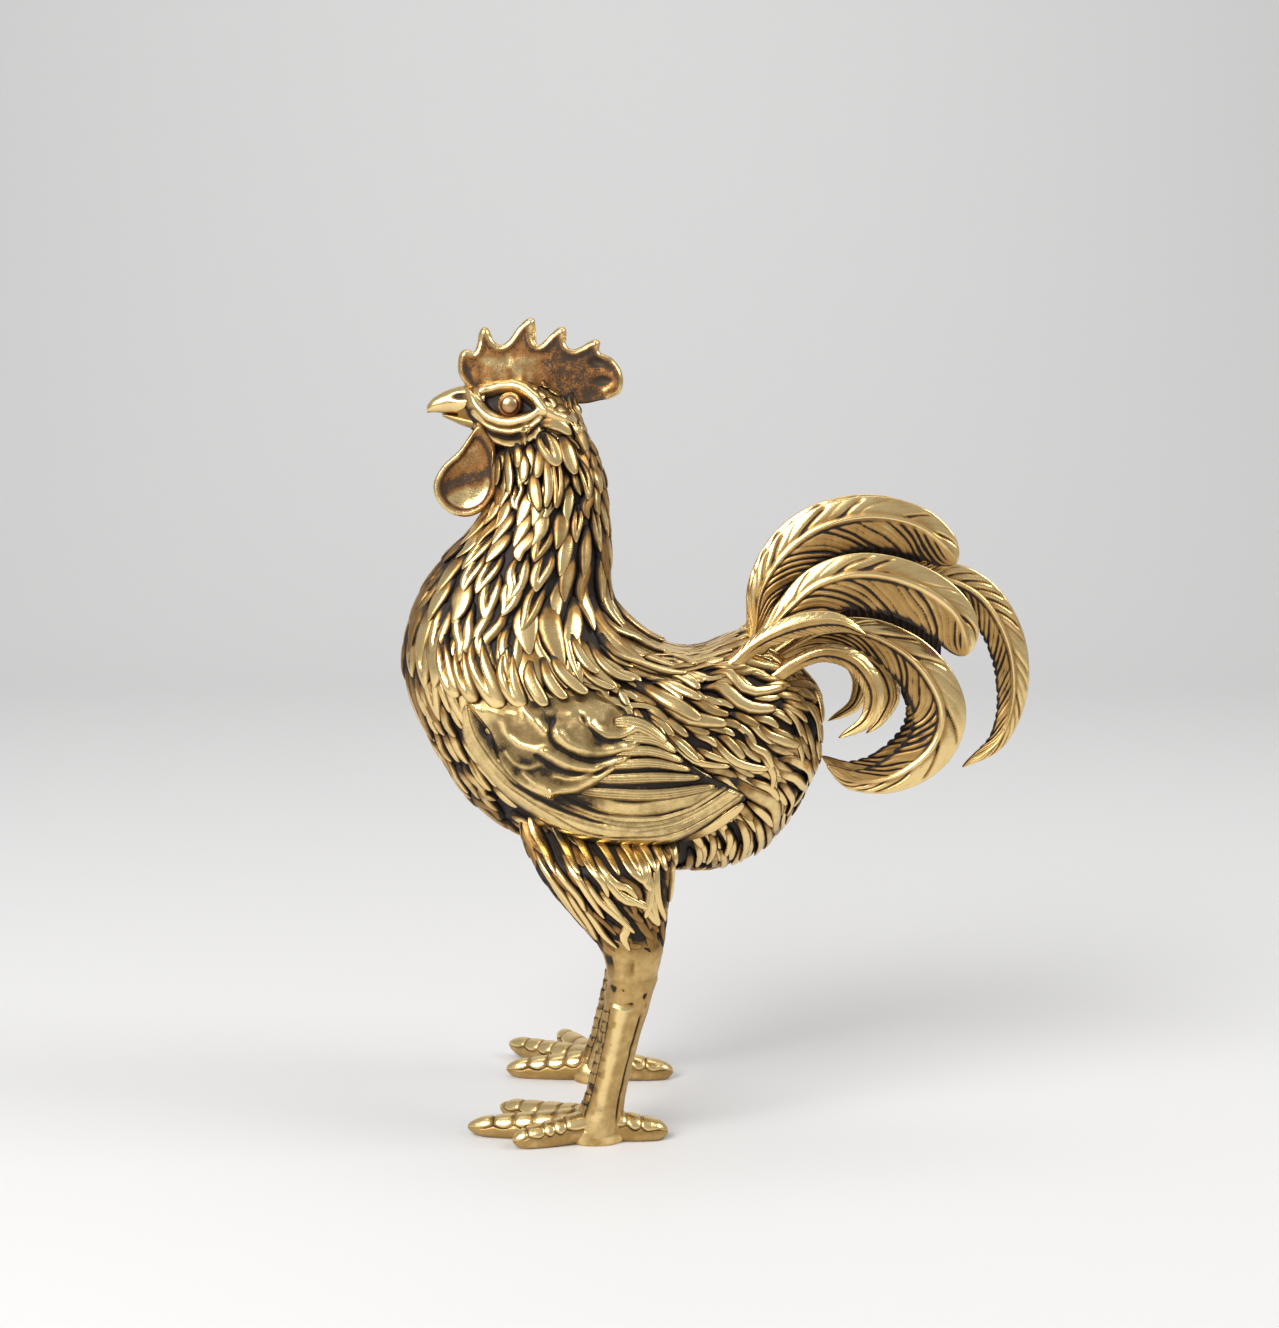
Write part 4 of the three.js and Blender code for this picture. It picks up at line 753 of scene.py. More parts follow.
def plume(line, spread, half, tip, quill_at, side):
    """Rings of a plume: a roof whose crest is the quill, a raised quill on it, and barb grooves that leave
    the quill at a slant. Groove depth is a narrow bell over the fraction of a slanted length. quill_at is the
    place of the quill across the vane, from -1 on the inner edge to 1 on the outer."""
    middle = even_line(line, PLUME_RINGS)
    ahead = np.gradient(middle, axis=0)
    ahead /= np.linalg.norm(ahead, axis=1)[:, None]
    outward = np.stack([-ahead[:, 1], ahead[:, 0]], -1)
    share = np.linspace(0, 1, PLUME_RINGS)[:, None]
    way = share * np.linalg.norm(np.diff(middle, axis=0), axis=1).sum()
    swell = smooth_line(np.array(SWELL[tip])[:, None], share[:, 0] * 8)[:, :1]
    close = arch(((share - 0.93) / 0.071).clip(0), 0.004)
    vane = (swell * half + (1 - share) * (1 - swell) * STEM) * close
    depth = (STEM + (THICKNESS / 2 - STEM) * swell) * (1 - 0.45 * share**2) * (0.3 + 0.7 * close)
    across = np.concatenate([np.linspace(-1, quill_at - 0.2, 19),
        np.linspace(quill_at - 0.14, quill_at + 0.14, 7), np.linspace(quill_at + 0.22, 1, 13)])[None, :]
    inner, outer = (across + 1) / (1 + quill_at), (1 - across) / (1 - quill_at)
    roof = np.where(across < quill_at, 0.34 + 0.5 * np.sin(np.pi / 2 * np.clip(inner, 0, 1)) ** 0.8,
                    0.28 + 0.62 * np.sin(np.pi / 2 * np.clip(outer, 0, 1)) ** 0.8)
    off = np.abs(across - quill_at) * half
    wander = 0.3 * noise(way * 0.25, half)
    inner_side = across < quill_at
    cuts = (way - 1.7 * off) / np.where(inner_side, 0.5 * half, 0.72 * half) + wander
    strength = blend(-0.6, 0.25, noise(np.floor(cuts) * 1.7, half * 3.1, 4.0 * inner_side))
    from_quill = np.where(inner_side, blend(0.4, 1.6, off), blend(0.3, 1.1, off) * blend(0.02, 0.2, outer))
    reach_in = from_quill * blend(0.08, 0.2, share) * blend(0.995, 0.93, share)
    cut = bell((cuts % 1) - 0.5, 0.07 + 0.1 * strength) * reach_in * (0.15 + 0.85 * strength)
    cut = cut * np.where(inner_side, 1, 0.85)
    lines = (way - 1.4 * off) / (0.15 * half) + wander
    line_cut = (bell((lines % 1) - 0.5, 0.22) * reach_in
        * blend(-0.3, 0.4, noise(way * 0.5, off * 0.5, half)))
    line_cut = line_cut * np.where(inner_side, 0.7, 0.3)
    if half < SLENDER:
        cut, line_cut = 0.45 * cut, 0 * line_cut
    edge_cut = 1 - 0.14 * cut * np.where(inner_side, blend(-0.5, -1, across), blend(0.6, 1, across))
    quill = bell(across - quill_at, 0.085) * blend(0.02, 0.15, share) * blend(1.0, 0.8, share)
    ditch = bell(across - quill_at + 0.16, 0.06) + 0.5 * bell(across - quill_at - 0.16, 0.05)
    ditch = ditch * blend(0.1, 0.2, share) * blend(0.95, 0.6, share)
    face = depth * roof + 0.24 * quill - (0.55 * cut + 0.12 * line_cut + 0.22 * ditch) * min(1, half / 4)
    # painted highlight: the outer vane, past the quill, is painted brighter than the inner one
    tone = (0.56 + 0.3 * blend(quill_at + 0.1, quill_at + 0.4, across) + 0.45 * quill - 0.95 * cut
        - 0.32 * line_cut - 0.5 * ditch)
    tone = tone - 0.4 * blend(-0.75, -1, across) - 0.15 * noise(way * 0.2, across * 2, half)
    if half < SLENDER:
        groove = bell(across + 0.3, 0.13) * blend(0.1, 0.3, share)
        face = face - 0.25 * groove
        # painted highlight: a slender plume is painted brighter towards its outer edge
        tone = 0.6 + 0.36 * blend(0.1, 0.6, across) - 0.55 * groove - 0.6 * cut
    flat = middle[:, None, :] + outward[:, None, :] * (across * vane * edge_cut)[..., None]
    level = side * (spread[0] + (spread[1] - spread[0]) * share)
    face = np.maximum(face, THINNEST)
    return plate_rings(flat, level + face, level - face, tone, tone)


for name, (line, spread, half, tip, quill_at) in PLUMES.items():
    for word, side in (SIDES if spread[0] else {"": 0}).items():
        node = f"{name}_{word}" if word else name
        points, tone = plume(line, spread, half, tip, quill_at, side)
        make_piece(f"{node}_plume", points, tone, tail_brass, [node])

# %% [markdown]
# ### Web between the plumes
# A thin web ties the plumes together in the mould, close to the middle of the tail. It is painted nearly
# black as shade between the plumes, with faint barbs. In the photograph it closes the gaps between the upper
# plumes.

# %% Web
WEB_TOP = [[8.2, 91], [9.4, 98.5], [13.6, 104], [19.6, 108], [28, 109.6], [36, 107.8], [42.6, 103.4]]
WEB_LOW = [[9.2, 86.6], [13.6, 89.2], [20.4, 92.2], [28, 91.6], [34.6, 88], [39, 82.6], [41.4, 77.5]]
share, down = np.linspace(0, 6, 120)[:, None], np.linspace(0, 1, 40)[None, :, None]
flat = (smooth_line(WEB_TOP, share[:, 0])[:, None] * (1 - down)
    + smooth_line(WEB_LOW, share[:, 0])[:, None] * down)
barbs = np.sin(share * 30 + 14 * down[..., 0] + 2 * noise(share * 2, down[..., 0] * 3))
half = 0.55 + 0.12 * barbs
# painted shade: the web's tone stays low, so it renders nearly black
tone = 0.1 + 0.12 * blend(0.2, 1, barbs)
points, tone = plate_rings(flat, half, -half, tone, tone)
make_piece("tail_web", points, tone, tail_brass, ["tail_outer_sickle"])

# %% [markdown]
# ## Wings
# The folded wing is one casting. A smooth rim runs along its lower edge, and long lines are engraved above
# it, each as far from the edge as its number says. Over them stands the shield of coverts, softly hammered,
# with raised rims and a swirl of ridges, and from under its rear end come a few short feathers.

# %% Wing plate and shield
SHIELD_RIM = [
    [-45.4, 81], [-42.8, 78], [-40.6, 75.1], [-39.9, 72.2], [-38.2, 68.6], [-34.9, 65.6], [-30.3, 63.6],
    [-28.5, 64.5], [-24.8, 64.9], [-21.6, 66.7], [-18.7, 69.3], [-14.7, 72.2], [-13.3, 75.1], [-13.7, 78],
    [-16.9, 79.5], [-19.4, 82], [-24.1, 83.6], [-34.8, 83.8], [-42.6, 82.8], [-45.4, 81],
]
RIDGES = [
    ([[-28.8, 76.9], [-26.6, 74.4], [-21.2, 72.9], [-15.6, 74.2]], 0.75, 0.95),
    ([[-23, 78], [-20.5, 76.2], [-17.6, 75.8], [-15.1, 77.3]], 0.7, 0.8),
    ([[-31.3, 73.3], [-27.7, 71.1], [-22.7, 70], [-17.3, 71.7]], 0.7, 0.8),
    ([[-40.5, 74.9], [-38.5, 69.3], [-34.9, 66.3], [-30.3, 64.4]], 0.6, 0.7),
    ([[-29.9, 65.2], [-25.9, 65.9], [-22, 68], [-19.1, 69.9]], 0.6, 0.7),
    ([[-34.8, 80.9], [-33.4, 79.1], [-32.2, 78], [-31.1, 76.6]], 0.5, 0.6),
    ([[-38.8, 78], [-37.7, 75.8], [-35.2, 74], [-31.3, 73.3]], 0.45, 0.6),
    ([[-34.9, 68.6], [-32.8, 66.7], [-31.3, 66], [-29.9, 65.3]], 0.45, 0.5),
    ([[-38.2, 72.4], [-36.4, 70.4], [-34.2, 69.8], [-32.2, 70.6]], 0.4, 0.4),
    ([[-29.4, 68.4], [-26.4, 67.9], [-23.8, 68.6], [-21.4, 70]], 0.4, 0.4),
]
CREASES = [
    [[-29.6, 78.6], [-30, 75.6], [-27.8, 73.4], [-22.8, 71.4], [-17, 72.6]],
    [[-24.4, 79.2], [-22.9, 77.2], [-20, 75], [-15, 75.6]],
    [[-32.6, 72.4], [-28.6, 69.8], [-23, 68.9], [-18.6, 70.6]],
    [[-41.6, 76.2], [-40, 73.6], [-39.6, 71]],
]


def inside(place, line):
    """True where a place lies in a closed polyline: a ray to the right crosses it an odd number of times."""
    a, b = line[:-1], line[1:]
    above = (a[:, 1] > place[..., None, 1]) != (b[:, 1] > place[..., None, 1])
    cross = a[:, 0] + (place[..., None, 1] - a[:, 1]) / (b[:, 1] - a[:, 1] + 1e-9) * (b[:, 0] - a[:, 0])
    return (above & (place[..., None, 0] < cross)).sum(-1) % 2 == 1


FIRST_LINE, LINE_STEP = 3.6, 1.6  # of the engraved lines, from the lower edge

along, up = np.linspace(0, 5, 240), np.linspace(0, 1, 150)[None, :, None]
lower, upper = smooth_line(WING_LOWER, along), smooth_line(WING_UPPER, along)
place = lower[:, None] + (upper - lower)[:, None] * up
x, z = place[..., 0], place[..., 1]
wing_edge = np.vstack([lower, upper[::-1], lower[:1]])[::4]
to_edge = from_line(place, wing_edge)
shield_rim = even_line(SHIELD_RIM, 120)
to_rim = from_line(place, shield_rim) * np.where(inside(place, shield_rim), 1, -1)
hammered = 0.28 * noise(x * 0.33, z * 0.33, 9.0) + 0.14 * noise(x * 0.8, z * 0.8, 2.0)
shield_height = 1.3 * blend(-0.15, 0.7, to_rim) + 1.2 * blend(0, 8, to_rim) + hammered * blend(0, 2, to_rim)
# painted highlights: bright patches at the front of the shield and along its upper part
front_highlight = np.exp(-((x + 43.2) / 3.2) ** 2 - ((z - 79.4) / 3.6) ** 2)
top_highlight = np.exp(-((x + 22.6) / 6.5) ** 2 - ((z - 79.6 + 0.22 * (x + 22.6)) / 2.3) ** 2)
shield_tone = 0.38 + 0.8 * hammered + 0.5 * front_highlight + 0.45 * top_highlight
for line, rise, breadth in RIDGES:
    ridge = bell(from_curve(place, line, 24), breadth)
    shield_height = shield_height + rise * ridge
    shield_tone = shield_tone + 0.55 * ridge
for line in CREASES:
    crease = bell(from_curve(place, line, 24), 0.42)
    shield_height = shield_height - 0.5 * crease
    shield_tone = shield_tone - 0.6 * crease

lower_way = up[..., 0] * np.linalg.norm(upper - lower, axis=1)[:, None]
number = ((lower_way - FIRST_LINE) / LINE_STEP + 0.7 * noise(lower_way * 0.3, x * 0.05)
    + 0.1 * noise(x * 0.4, z * 0.5))
hairs = (bell(((number * 3 + 0.4 * noise(x * 0.2, number)) % 1) - 0.5, 0.16)
    * blend(-0.1, 0.5, noise(x * 0.25, number * 2.1, 3.0)))
deep = blend(-0.3, 0.6, noise(x * 0.12, np.floor(number) * 1.7))
engraved = bell((number % 1) - 0.5, 0.1 + 0.16 * deep) * (0.3 + 0.7 * deep) * blend(-0.6, 0.2, number)
own_tone = 0.12 * noise(np.floor(number + 0.5) * 2.3, x * 0.06, 7.0)
rim = arch((lower_way - 1.9) / 1.95) + blend(2, 4.2, lower_way)
rim_line = bell(lower_way - 2.3 - 0.3 * noise(x * 0.2, 3.0), 0.16) * blend(-44, -30, x)
# painted shade on the plate where the short feathers lie over it
behind = blend(64.8, 66.4, z) * blend(-24, -20, x)
lined_height = 0.2 + 0.75 * np.minimum(rim, 1) - 0.5 * engraved - 0.1 * hairs - 0.15 * rim_line
# painted shade on the lined plate just below the shield's rim, together with the tone of each line and noise
painted_shade_and_line_tone = (0.4 * blend(-5, -0.8, to_rim) * blend(-12, -24, x) * blend(3.6, 4.8, lower_way) - own_tone
    + 0.1 * noise(x * 0.25, number))
lined_tone = ((0.8 - painted_shade_and_line_tone) * np.minimum(rim, 1) - 1.1 * engraved
    - 0.22 * hairs * blend(4.4, 5.4, lower_way) - 0.4 * rim_line - 0.7 * behind)
under = blend(0.25, -0.25, to_rim)
top_fade = np.where(x < -13, blend(84.4, 79.5, z), 1)
wing_height = (lined_height * under + 0.5 * blend(0, 1, to_edge) + shield_height) * top_fade
wing_tone = np.where(to_rim > 0, shield_tone * (0.5 + 0.5 * blend(0, 0.45, to_rim)),
    lined_tone * blend(0, 0.5, to_edge))


RIM_PROUD = 2.4  # how far the lower rim stands out over the top of the thigh


def wing_plate(side):
    """Rings of the wing plate: its outer sheet stands over the flank by wing_height, its inner one lies on
    it. The lower rim stands proud of the thigh."""
    base = flank(place, SKIN)
    proud = RIM_PROUD * blend(61, 55.5, z)
    outer = base + 0.25 + 0.3 * top_fade + proud + wing_height
    return plate_rings(place, side * outer, side * (base + 0.1), wing_tone, 0 * wing_tone)


# %% Short feathers behind the shield
FLIGHT = [
    [-19.4, 77.9, -16.4, 78, -13, 77, -9.4, 74.4, 3.2],
    [-20.5, 74.8, -16.2, 75.4, -11.6, 75, -7.8, 72.8, 2.6],
    [-21.5, 72.4, -16.6, 73, -11.6, 72.9, -6.6, 71, 2.5],
    [-22.5, 70.2, -17.2, 70.6, -11.4, 70.8, -5.2, 69.4, 2.5],
    [-24, 68, -18, 67.9, -11.2, 68.2, -3.4, 67.9, 2.8],
    [-26.5, 65.6, -18.8, 65, -10.6, 64.9, -0.6, 66.2, 3.2],
]
across = np.linspace(-1, 1, 41)
barb_lines = 0.5 + 0.5 * np.cos(across * 2 * np.pi * 2.5 + 0.8)
edge = 1 - np.abs(across) ** 4
FLIGHT_SECTION = (across, np.where(np.abs(across) > 0.99, -0.7, edge * (0.9 + 0.1 * barb_lines)),
                  blend(0.98, 0.62, np.abs(across)) * (0.72 + 0.24 * barb_lines))


def on_wing(side):
    """Surface over a wing in side view numbers: x, z and a height over the skin of the flank."""
    def surface(x, z, height):
        x, z, height = np.broadcast_arrays(x, z, height)
        return np.stack([x, side * (flank(np.stack([x, z], -1), SKIN) + 1.5 - SKIN + height), z], -1)
    return surface


for word, side in SIDES.items():
    points, tone = wing_plate(side)
    make_piece(f"wing_{word}_shield", points, tone, wing_brass, [f"wing_{word}"])
    rows = np.array(FLIGHT)
    paths = rows[:, :8].reshape(-1, 4, 2)
    order = np.arange(len(rows))
    points, tone = laid(on_wing(side), paths, rows[:, 8] * 0.92, 1.0, lift=0.9, dull=0.03 * order,
        point=0.36, root=0.3, fade=0.2, sink=0.1 * order - 0.2, section=FLIGHT_SECTION)
    make_piece(f"wing_{word}_flight", points, tone, wing_brass, [f"wing_{word}"])

# %% [markdown]
# ## Thighs
# The thigh is an oval drumstick that closes on the belly. Long strands run down it at a slant and stop over
# a smooth knee. Those of the outer side follow the photograph, and rows of smaller ones lie under them and
# on the inner side.

# %% Thigh surface and strands
THIGH = [
    [62, -37, -6, 11, 9.5], [55, -36, -6.4, 13.4, 9.4], [50, -33.4, -7.8, 15, 8.6],
    [45, -29.6, -8.6, 16, 7.4], [40, -25.2, -9.2, 16.6, 6.2], [35, -21.2, -10, 17, 5],
    [29, -20.1, -11.5, 17, 4.1],
]


def thigh(side):
    """Surface of a thigh: an oval at each height, its angle counted from the front over the outer side. Its
    top is tucked in under the rim of the wing."""
    def surface(station, angle, height):
        station, angle, height = np.broadcast_arrays(station, angle, height)
        row = smooth_line(THIGH, station)
        half = (row[..., 2] - row[..., 1]) / 2
        x = (row[..., 1] + row[..., 2]) / 2 - (half + height) * np.cos(angle)
        tuck = 8 * blend(50.5, 58, row[..., 0]) * np.maximum(np.sin(angle), 0)
        y = side * (row[..., 3] + (row[..., 4] + height) * np.sin(angle) - tuck)
        return np.stack([x, y, row[..., 0]], -1)
    return surface


def on_thigh(lines):
    """Station and angle of side view places on a thigh: the height finds the oval, and x its cosine."""
    place = np.asarray(lines, float)
    station = np.interp(-place[..., 1], [-row[0] for row in THIGH], np.arange(7.0))
    row = smooth_line(THIGH, station)
    share = ((row[..., 1] + row[..., 2]) / 2 - place[..., 0]) / ((row[..., 2] - row[..., 1]) / 2)
    return np.stack([station, np.arccos(np.clip(share, -0.97, 0.97))], -1)


THIGH_STRANDS = [
    [-34, 55.2, -30.7, 49.8, -28, 46.6, -25.2, 42.4],
    [-31.6, 54.5, -27.9, 49.5, -25.2, 46.6, -23.8, 43.8],
    [-28.8, 54.9, -25.2, 49.8, -23.1, 46.6, -20.5, 42.7],
    [-27.9, 48.1, -25.9, 44.9, -23.4, 41.3, -21.7, 38.1],
    [-24.5, 50.9, -21.7, 46.3, -18.6, 43.4, -16.5, 41.3],
    [-25, 53.8, -20.3, 49.8, -17.2, 46.3, -14, 45.2],
    [-20.3, 50.2, -18.2, 47.7, -15.4, 45.9, -12.6, 44.1],
    [-16.1, 45.9, -13.7, 45.2, -11.9, 42.4, -10.9, 40.9],
    [-23.2, 54.9, -18.9, 49.5, -16.5, 48.4, -14.7, 46.3],
    [-18.2, 44.1, -16.5, 41.3, -17.2, 39.1, -16.1, 36.6],
    [-10.7, 54.9, -11.2, 48.8, -10.9, 44.9, -9.8, 41.3],
    [-13.3, 48.4, -11.9, 45.9, -11.6, 43.1, -10.9, 40.9],
    [-24.8, 44.9, -22.7, 42.4, -20.7, 39.5, -18.2, 37],
    [-34.8, 60, -33.6, 57.2, -31.4, 54.2, -28.8, 50.2],
    [-31.2, 60.5, -29.6, 57.6, -27.5, 54.6, -24.8, 50.8],
    [-27.8, 60, -26.4, 57.4, -24.2, 54.4, -21.8, 51.2],
    [-24.2, 59.8, -22.8, 57, -20.2, 54.2, -17.8, 50.8],
    [-20.6, 59.6, -19.2, 57.4, -16.6, 54.6, -14.2, 51],
    [-17, 59.2, -15.6, 57, -13.4, 54.6, -11.4, 50.8],
    [-13.6, 58.8, -12.2, 56.8, -10.8, 54, -9.6, 50.6],
    [-10.4, 58.6, -9.4, 56.8, -8.2, 54.2, -7.4, 51],
    [-14.8, 55.6, -12.8, 51.2, -13.2, 49.2, -12.4, 47.4],
    [-8.2, 52.6, -8, 50, -8.6, 47.4, -9, 44.6],
    [-19, 55.8, -16, 52, -14.8, 50.6, -13.6, 49],
    [-31.5, 50.5, -28.6, 46.4, -26.2, 43.4, -23.6, 40.2],
    [-13, 51.6, -12.2, 48.6, -12.6, 45.4, -13.4, 42.6],
    [-21.6, 48.2, -19.4, 45.4, -17.4, 42.4, -15.2, 40],
    [-25.6, 54.8, -23.2, 52.2, -20.9, 49.6, -19.8, 46.8],
    [-15.6, 55.2, -14.2, 53.2, -13.4, 50.8, -13.6, 48.6],
]

for word, side in SIDES.items():
    surface = thigh(side)
    station, angle = grid(0.1, 6, 70, 64)
    knee = blend(4.0, 5.0, station)
    dash = (blend(0.3, 0.5, noise(angle * 3.4 + 0.5 * station, station * 1.3, 5.0))
        * blend(5.9, 4.8, station) * knee)
    points = surface(station, angle, -0.9 + 0.8 * knee - 0.22 * dash - 0.8 * blend(5.7, 6, station))
    make_piece(f"thigh_{word}_skin", points, 0.05 + 0.58 * knee - 0.6 * dash + 0 * angle, leg_brass,
               [f"thigh_{word}"])
    parts = []
    for station in np.arange(-0.3, 4.4, 0.45):
        count = round(24 - 3.2 * station)
        angles = uneven(count, 0.15)
        start = station + rng.normal(0, 0.15, count)
        length = np.minimum(rng.uniform(6, 9.5, count), (5.3 - start) * 4.6)
        parts.append([start, angles, length, rng.uniform(1.7, 2.4, count), rng.uniform(0.8, 1.1, count),
            (0.6 + rng.normal(0, 0.12, count)) * np.sin(angles), rng.normal(0, 0.55, count),
            np.where(rng.random(count) < 0.12, 0.8, 0.0), np.clip(rng.normal(0.15, 0.15, count), 0, 0.5)])
    small_points, small_tone = sown(surface, parts, flatter=0.75, duller=0.42, lift=0.6, point=0.5)
    rows = on_thigh(np.array(THIGH_STRANDS).reshape(-1, 4, 2))
    points, tone = laid(surface, rows, 1.9, 1.0, fade=0.22, lift=0.75,
        dull=0.02 * (np.arange(len(rows)) % 4), point=0.5, sink=-0.3, root=0.4)
    points, tone = np.concatenate([small_points, points]), np.concatenate([small_tone, tone])
    points[..., 2] = np.minimum(points[..., 2], 61.5)
    make_piece(f"thigh_{word}_strands", points, tone, feather_brass, [f"thigh_{word}"])

# %% [markdown]
# ## Shanks and feet
# The shank leans back from the foot to the knee. A raised strip of scutes runs down its front and starts
# with a flat step under the knee. The toes are rows of rounded scutes on a flat sole.

# %% Shank and toes
STANCE = 17.0  # of each leg from the centre line
SHANK_RADIUS, SCUTES = 3.85, 13
TOE_RADIUS, SCUTE_LENGTH = 2.75, 4.2
PAD_RADII = (5.5, 4.3, 4.2)
SHANK_TOP, SHANK_FOOT = np.array([-15.8, 29.2]), np.array([-21.6, 4.0])
FEET = {
    "left": [(18, 16.5, 0), (-5, 24.5, 0), (-34, 23, 0), (180, 12.5, 0)],
    "right": [(64, 21.5, 1.6), (38, 25, 0.8), (4, 19.5, 0), (180, 14, 0)],
}
TOE = [1.12, 1.04, 1, 0.96, 0.92, 0.86, 0.78, 0.67, 0.5]


def shank(side):
    """Rings of a shank: a round post. A raised, flat topped rib runs down its outer side, small scutes fill
    the front beside it, and two dark lines part the smooth rear."""
    share, angle = grid(-0.15, 1.1, 180, 120, -np.pi)
    off = np.abs(angle)  # from the front
    lean = (SHANK_TOP - SHANK_FOOT) / np.linalg.norm(SHANK_TOP - SHANK_FOOT)
    middle = SHANK_TOP + (SHANK_FOOT - SHANK_TOP) * share
    rib = arch((off - 1.28) / 0.5) * blend(0.135, 0.15, share) * blend(1.04, 0.9, share)
    rib_end = bell(share - 0.147, 0.006) * blend(0.46, 0.4, np.abs(off - 1.3))
    front = blend(0.85, 0.7, off) * blend(0.14, 0.2, share)
    scute = (share * SCUTES + 0.25 * off) % 1
    crease = (0.7 * bell(off - 0.8, 0.07) + bell(off - 2.35, 0.07) *
              blend(-0.6, 0.1, noise(share * 6, np.sign(angle) * 3, 2.0)))
    crease = crease * blend(0.14, 0.22, share)
    dents = blend(0.05, 0.5, noise(share * 26, angle * 4, 6.0))
    nicks = (blend(0.3, 0.5, noise(angle * 4, share * 7, 8.0)) * blend(0.14, 0.08, share)
        * blend(0.0, 0.03, share))
    waist = np.cos(2 * np.pi * np.clip(share, 0, 0.5))
    radius = (SHANK_RADIUS * (1.01 + 0.08 * waist) + 2.4 * np.maximum(0.03 - share, 0)
        - 9 * np.maximum(-0.07 - share, 0) + 0.5 * rib - 0.25 * crease)
    radius = radius + front * (0.2 * (1 - scute) - 0.14) + 0.08 * noise(share * 14, angle * 2, 1.0)
    radius = radius + 1.1 * blend(0.74, 1.08, share) ** 1.6 - 0.2 * nicks
    # painted highlight: a bright line down the rounded rib
    rib_highlight = bell(off - 1.42, 0.2)
    tone = (0.58 + rib * (0.4 * rib_highlight - 0.02 - 0.3 * dents * blend(1.5, 1.0, off)) - 0.6 * crease
        - 0.6 * nicks + 0.6 * rib_end)
    tone = tone - front * (0.35 * bell(scute - 0.93, 0.1) + 0.28 * dents) + 0.1 * blend(0.9, 1, share)
    x = middle[:, :1] - lean[1] * radius * np.cos(angle)
    z = middle[:, 1:] + lean[0] * radius * np.cos(angle)
    y = side * (STANCE + (0.92 + 0.02 * blend(0.2, 0, share)) * radius * np.sin(angle))
    return np.stack([x, y, np.maximum(z, 0.3)], -1), tone


def toe(heading, length, lift, side):
    """Rings of a toe: a cord on the ground. Rounded scutes lie across its top and end in a scalloped line on
    each side; below the line it is smooth."""
    heading = math.radians(heading)
    share, angle = grid(0, 1, 90, 60, -np.pi)
    ahead = np.array([-math.cos(heading), side * math.sin(heading)])
    aside = np.array([-ahead[1], ahead[0]])
    base = TOE_RADIUS * np.interp(share, np.linspace(0, 1, 9), TOE)
    close = arch(((share - 0.84) / 0.162).clip(0), 0.01)
    lumps = max(3, round(length / SCUTE_LENGTH))
    phase = (share * lumps + 0.8 * noise(share * 2.6, heading * 3, 2.0)) % 1
    edge = 1.0 + 0.28 * np.abs(np.sin(np.pi * phase))
    top = blend(edge + 0.06, edge - 0.06, np.abs(angle))
    swell = arch(2 * phase - 1)
    crease = (1 - blend(0, 0.75, swell)) * top * blend(0.06, 0.14, share) * blend(0.97, 0.88, share)
    side_line = bell(np.abs(angle) - edge - 0.1, 0.09) * blend(0.06, 0.16, share) * blend(0.96, 0.86, share)
    radius = base * close + 0.24 * top * swell * blend(0, 0.1, share) - 0.2 * crease - 0.18 * side_line
    level = 1.75 * (1 - 0.15 * share) + 1.5 * (1 - share) ** 2 + lift * share
    offset = radius * np.sin(angle)
    x = SHANK_FOOT[0] + ahead[0] * length * share + aside[0] * offset
    y = side * STANCE + ahead[1] * length * share + aside[1] * offset
    z = np.maximum(level + radius * np.cos(angle), 0)
    tone = (0.56 + 0.42 * top * swell - 0.45 * crease - 0.4 * side_line
        + 0.1 * noise(share * 9, angle * 2, length))
    return np.stack([x, y, z], -1), tone


def pad(side):
    """Rings of the ankle pad: half an egg that closes the roots of the toes round the foot of the shank."""
    share, angle = grid(0.02, 0.98, 60, 72)
    share = share * np.pi
    lump = noise(np.cos(angle) * 2.2 * np.sin(share), np.sin(angle) * 2.2 * np.sin(share),
        np.cos(share) * 2)
    swell = 1 + 0.04 * lump
    x = SHANK_FOOT[0] - 0.8 + PAD_RADII[0] * swell * np.sin(share) * np.cos(angle)
    y = side * STANCE + PAD_RADII[1] * swell * np.sin(share) * np.sin(angle)
    z = np.maximum(1.2 + PAD_RADII[2] * swell * np.cos(share) + 0 * angle, 0)
    return np.stack([x, y, z], -1), 0.62 + 0.25 * lump + 0 * angle


for word, side in SIDES.items():
    toes = [np.stack(part) for part in zip(*(toe(*spec, side) for spec in FEET[word]))]
    for name, (points, tone) in (("shank", shank(side)), ("toes", toes), ("ankle", pad(side))):
        make_piece(f"{name}_{word}", points, tone, leg_brass, [f"leg_{word}"])

# %% [markdown]
# ## Head
# The skull is a row of ovals from the beak to the nape. The face is modelled on it as heights in the side
# view: an almond socket, a thick brow over it, three nested folds of the lower lid and a drop for the ear.

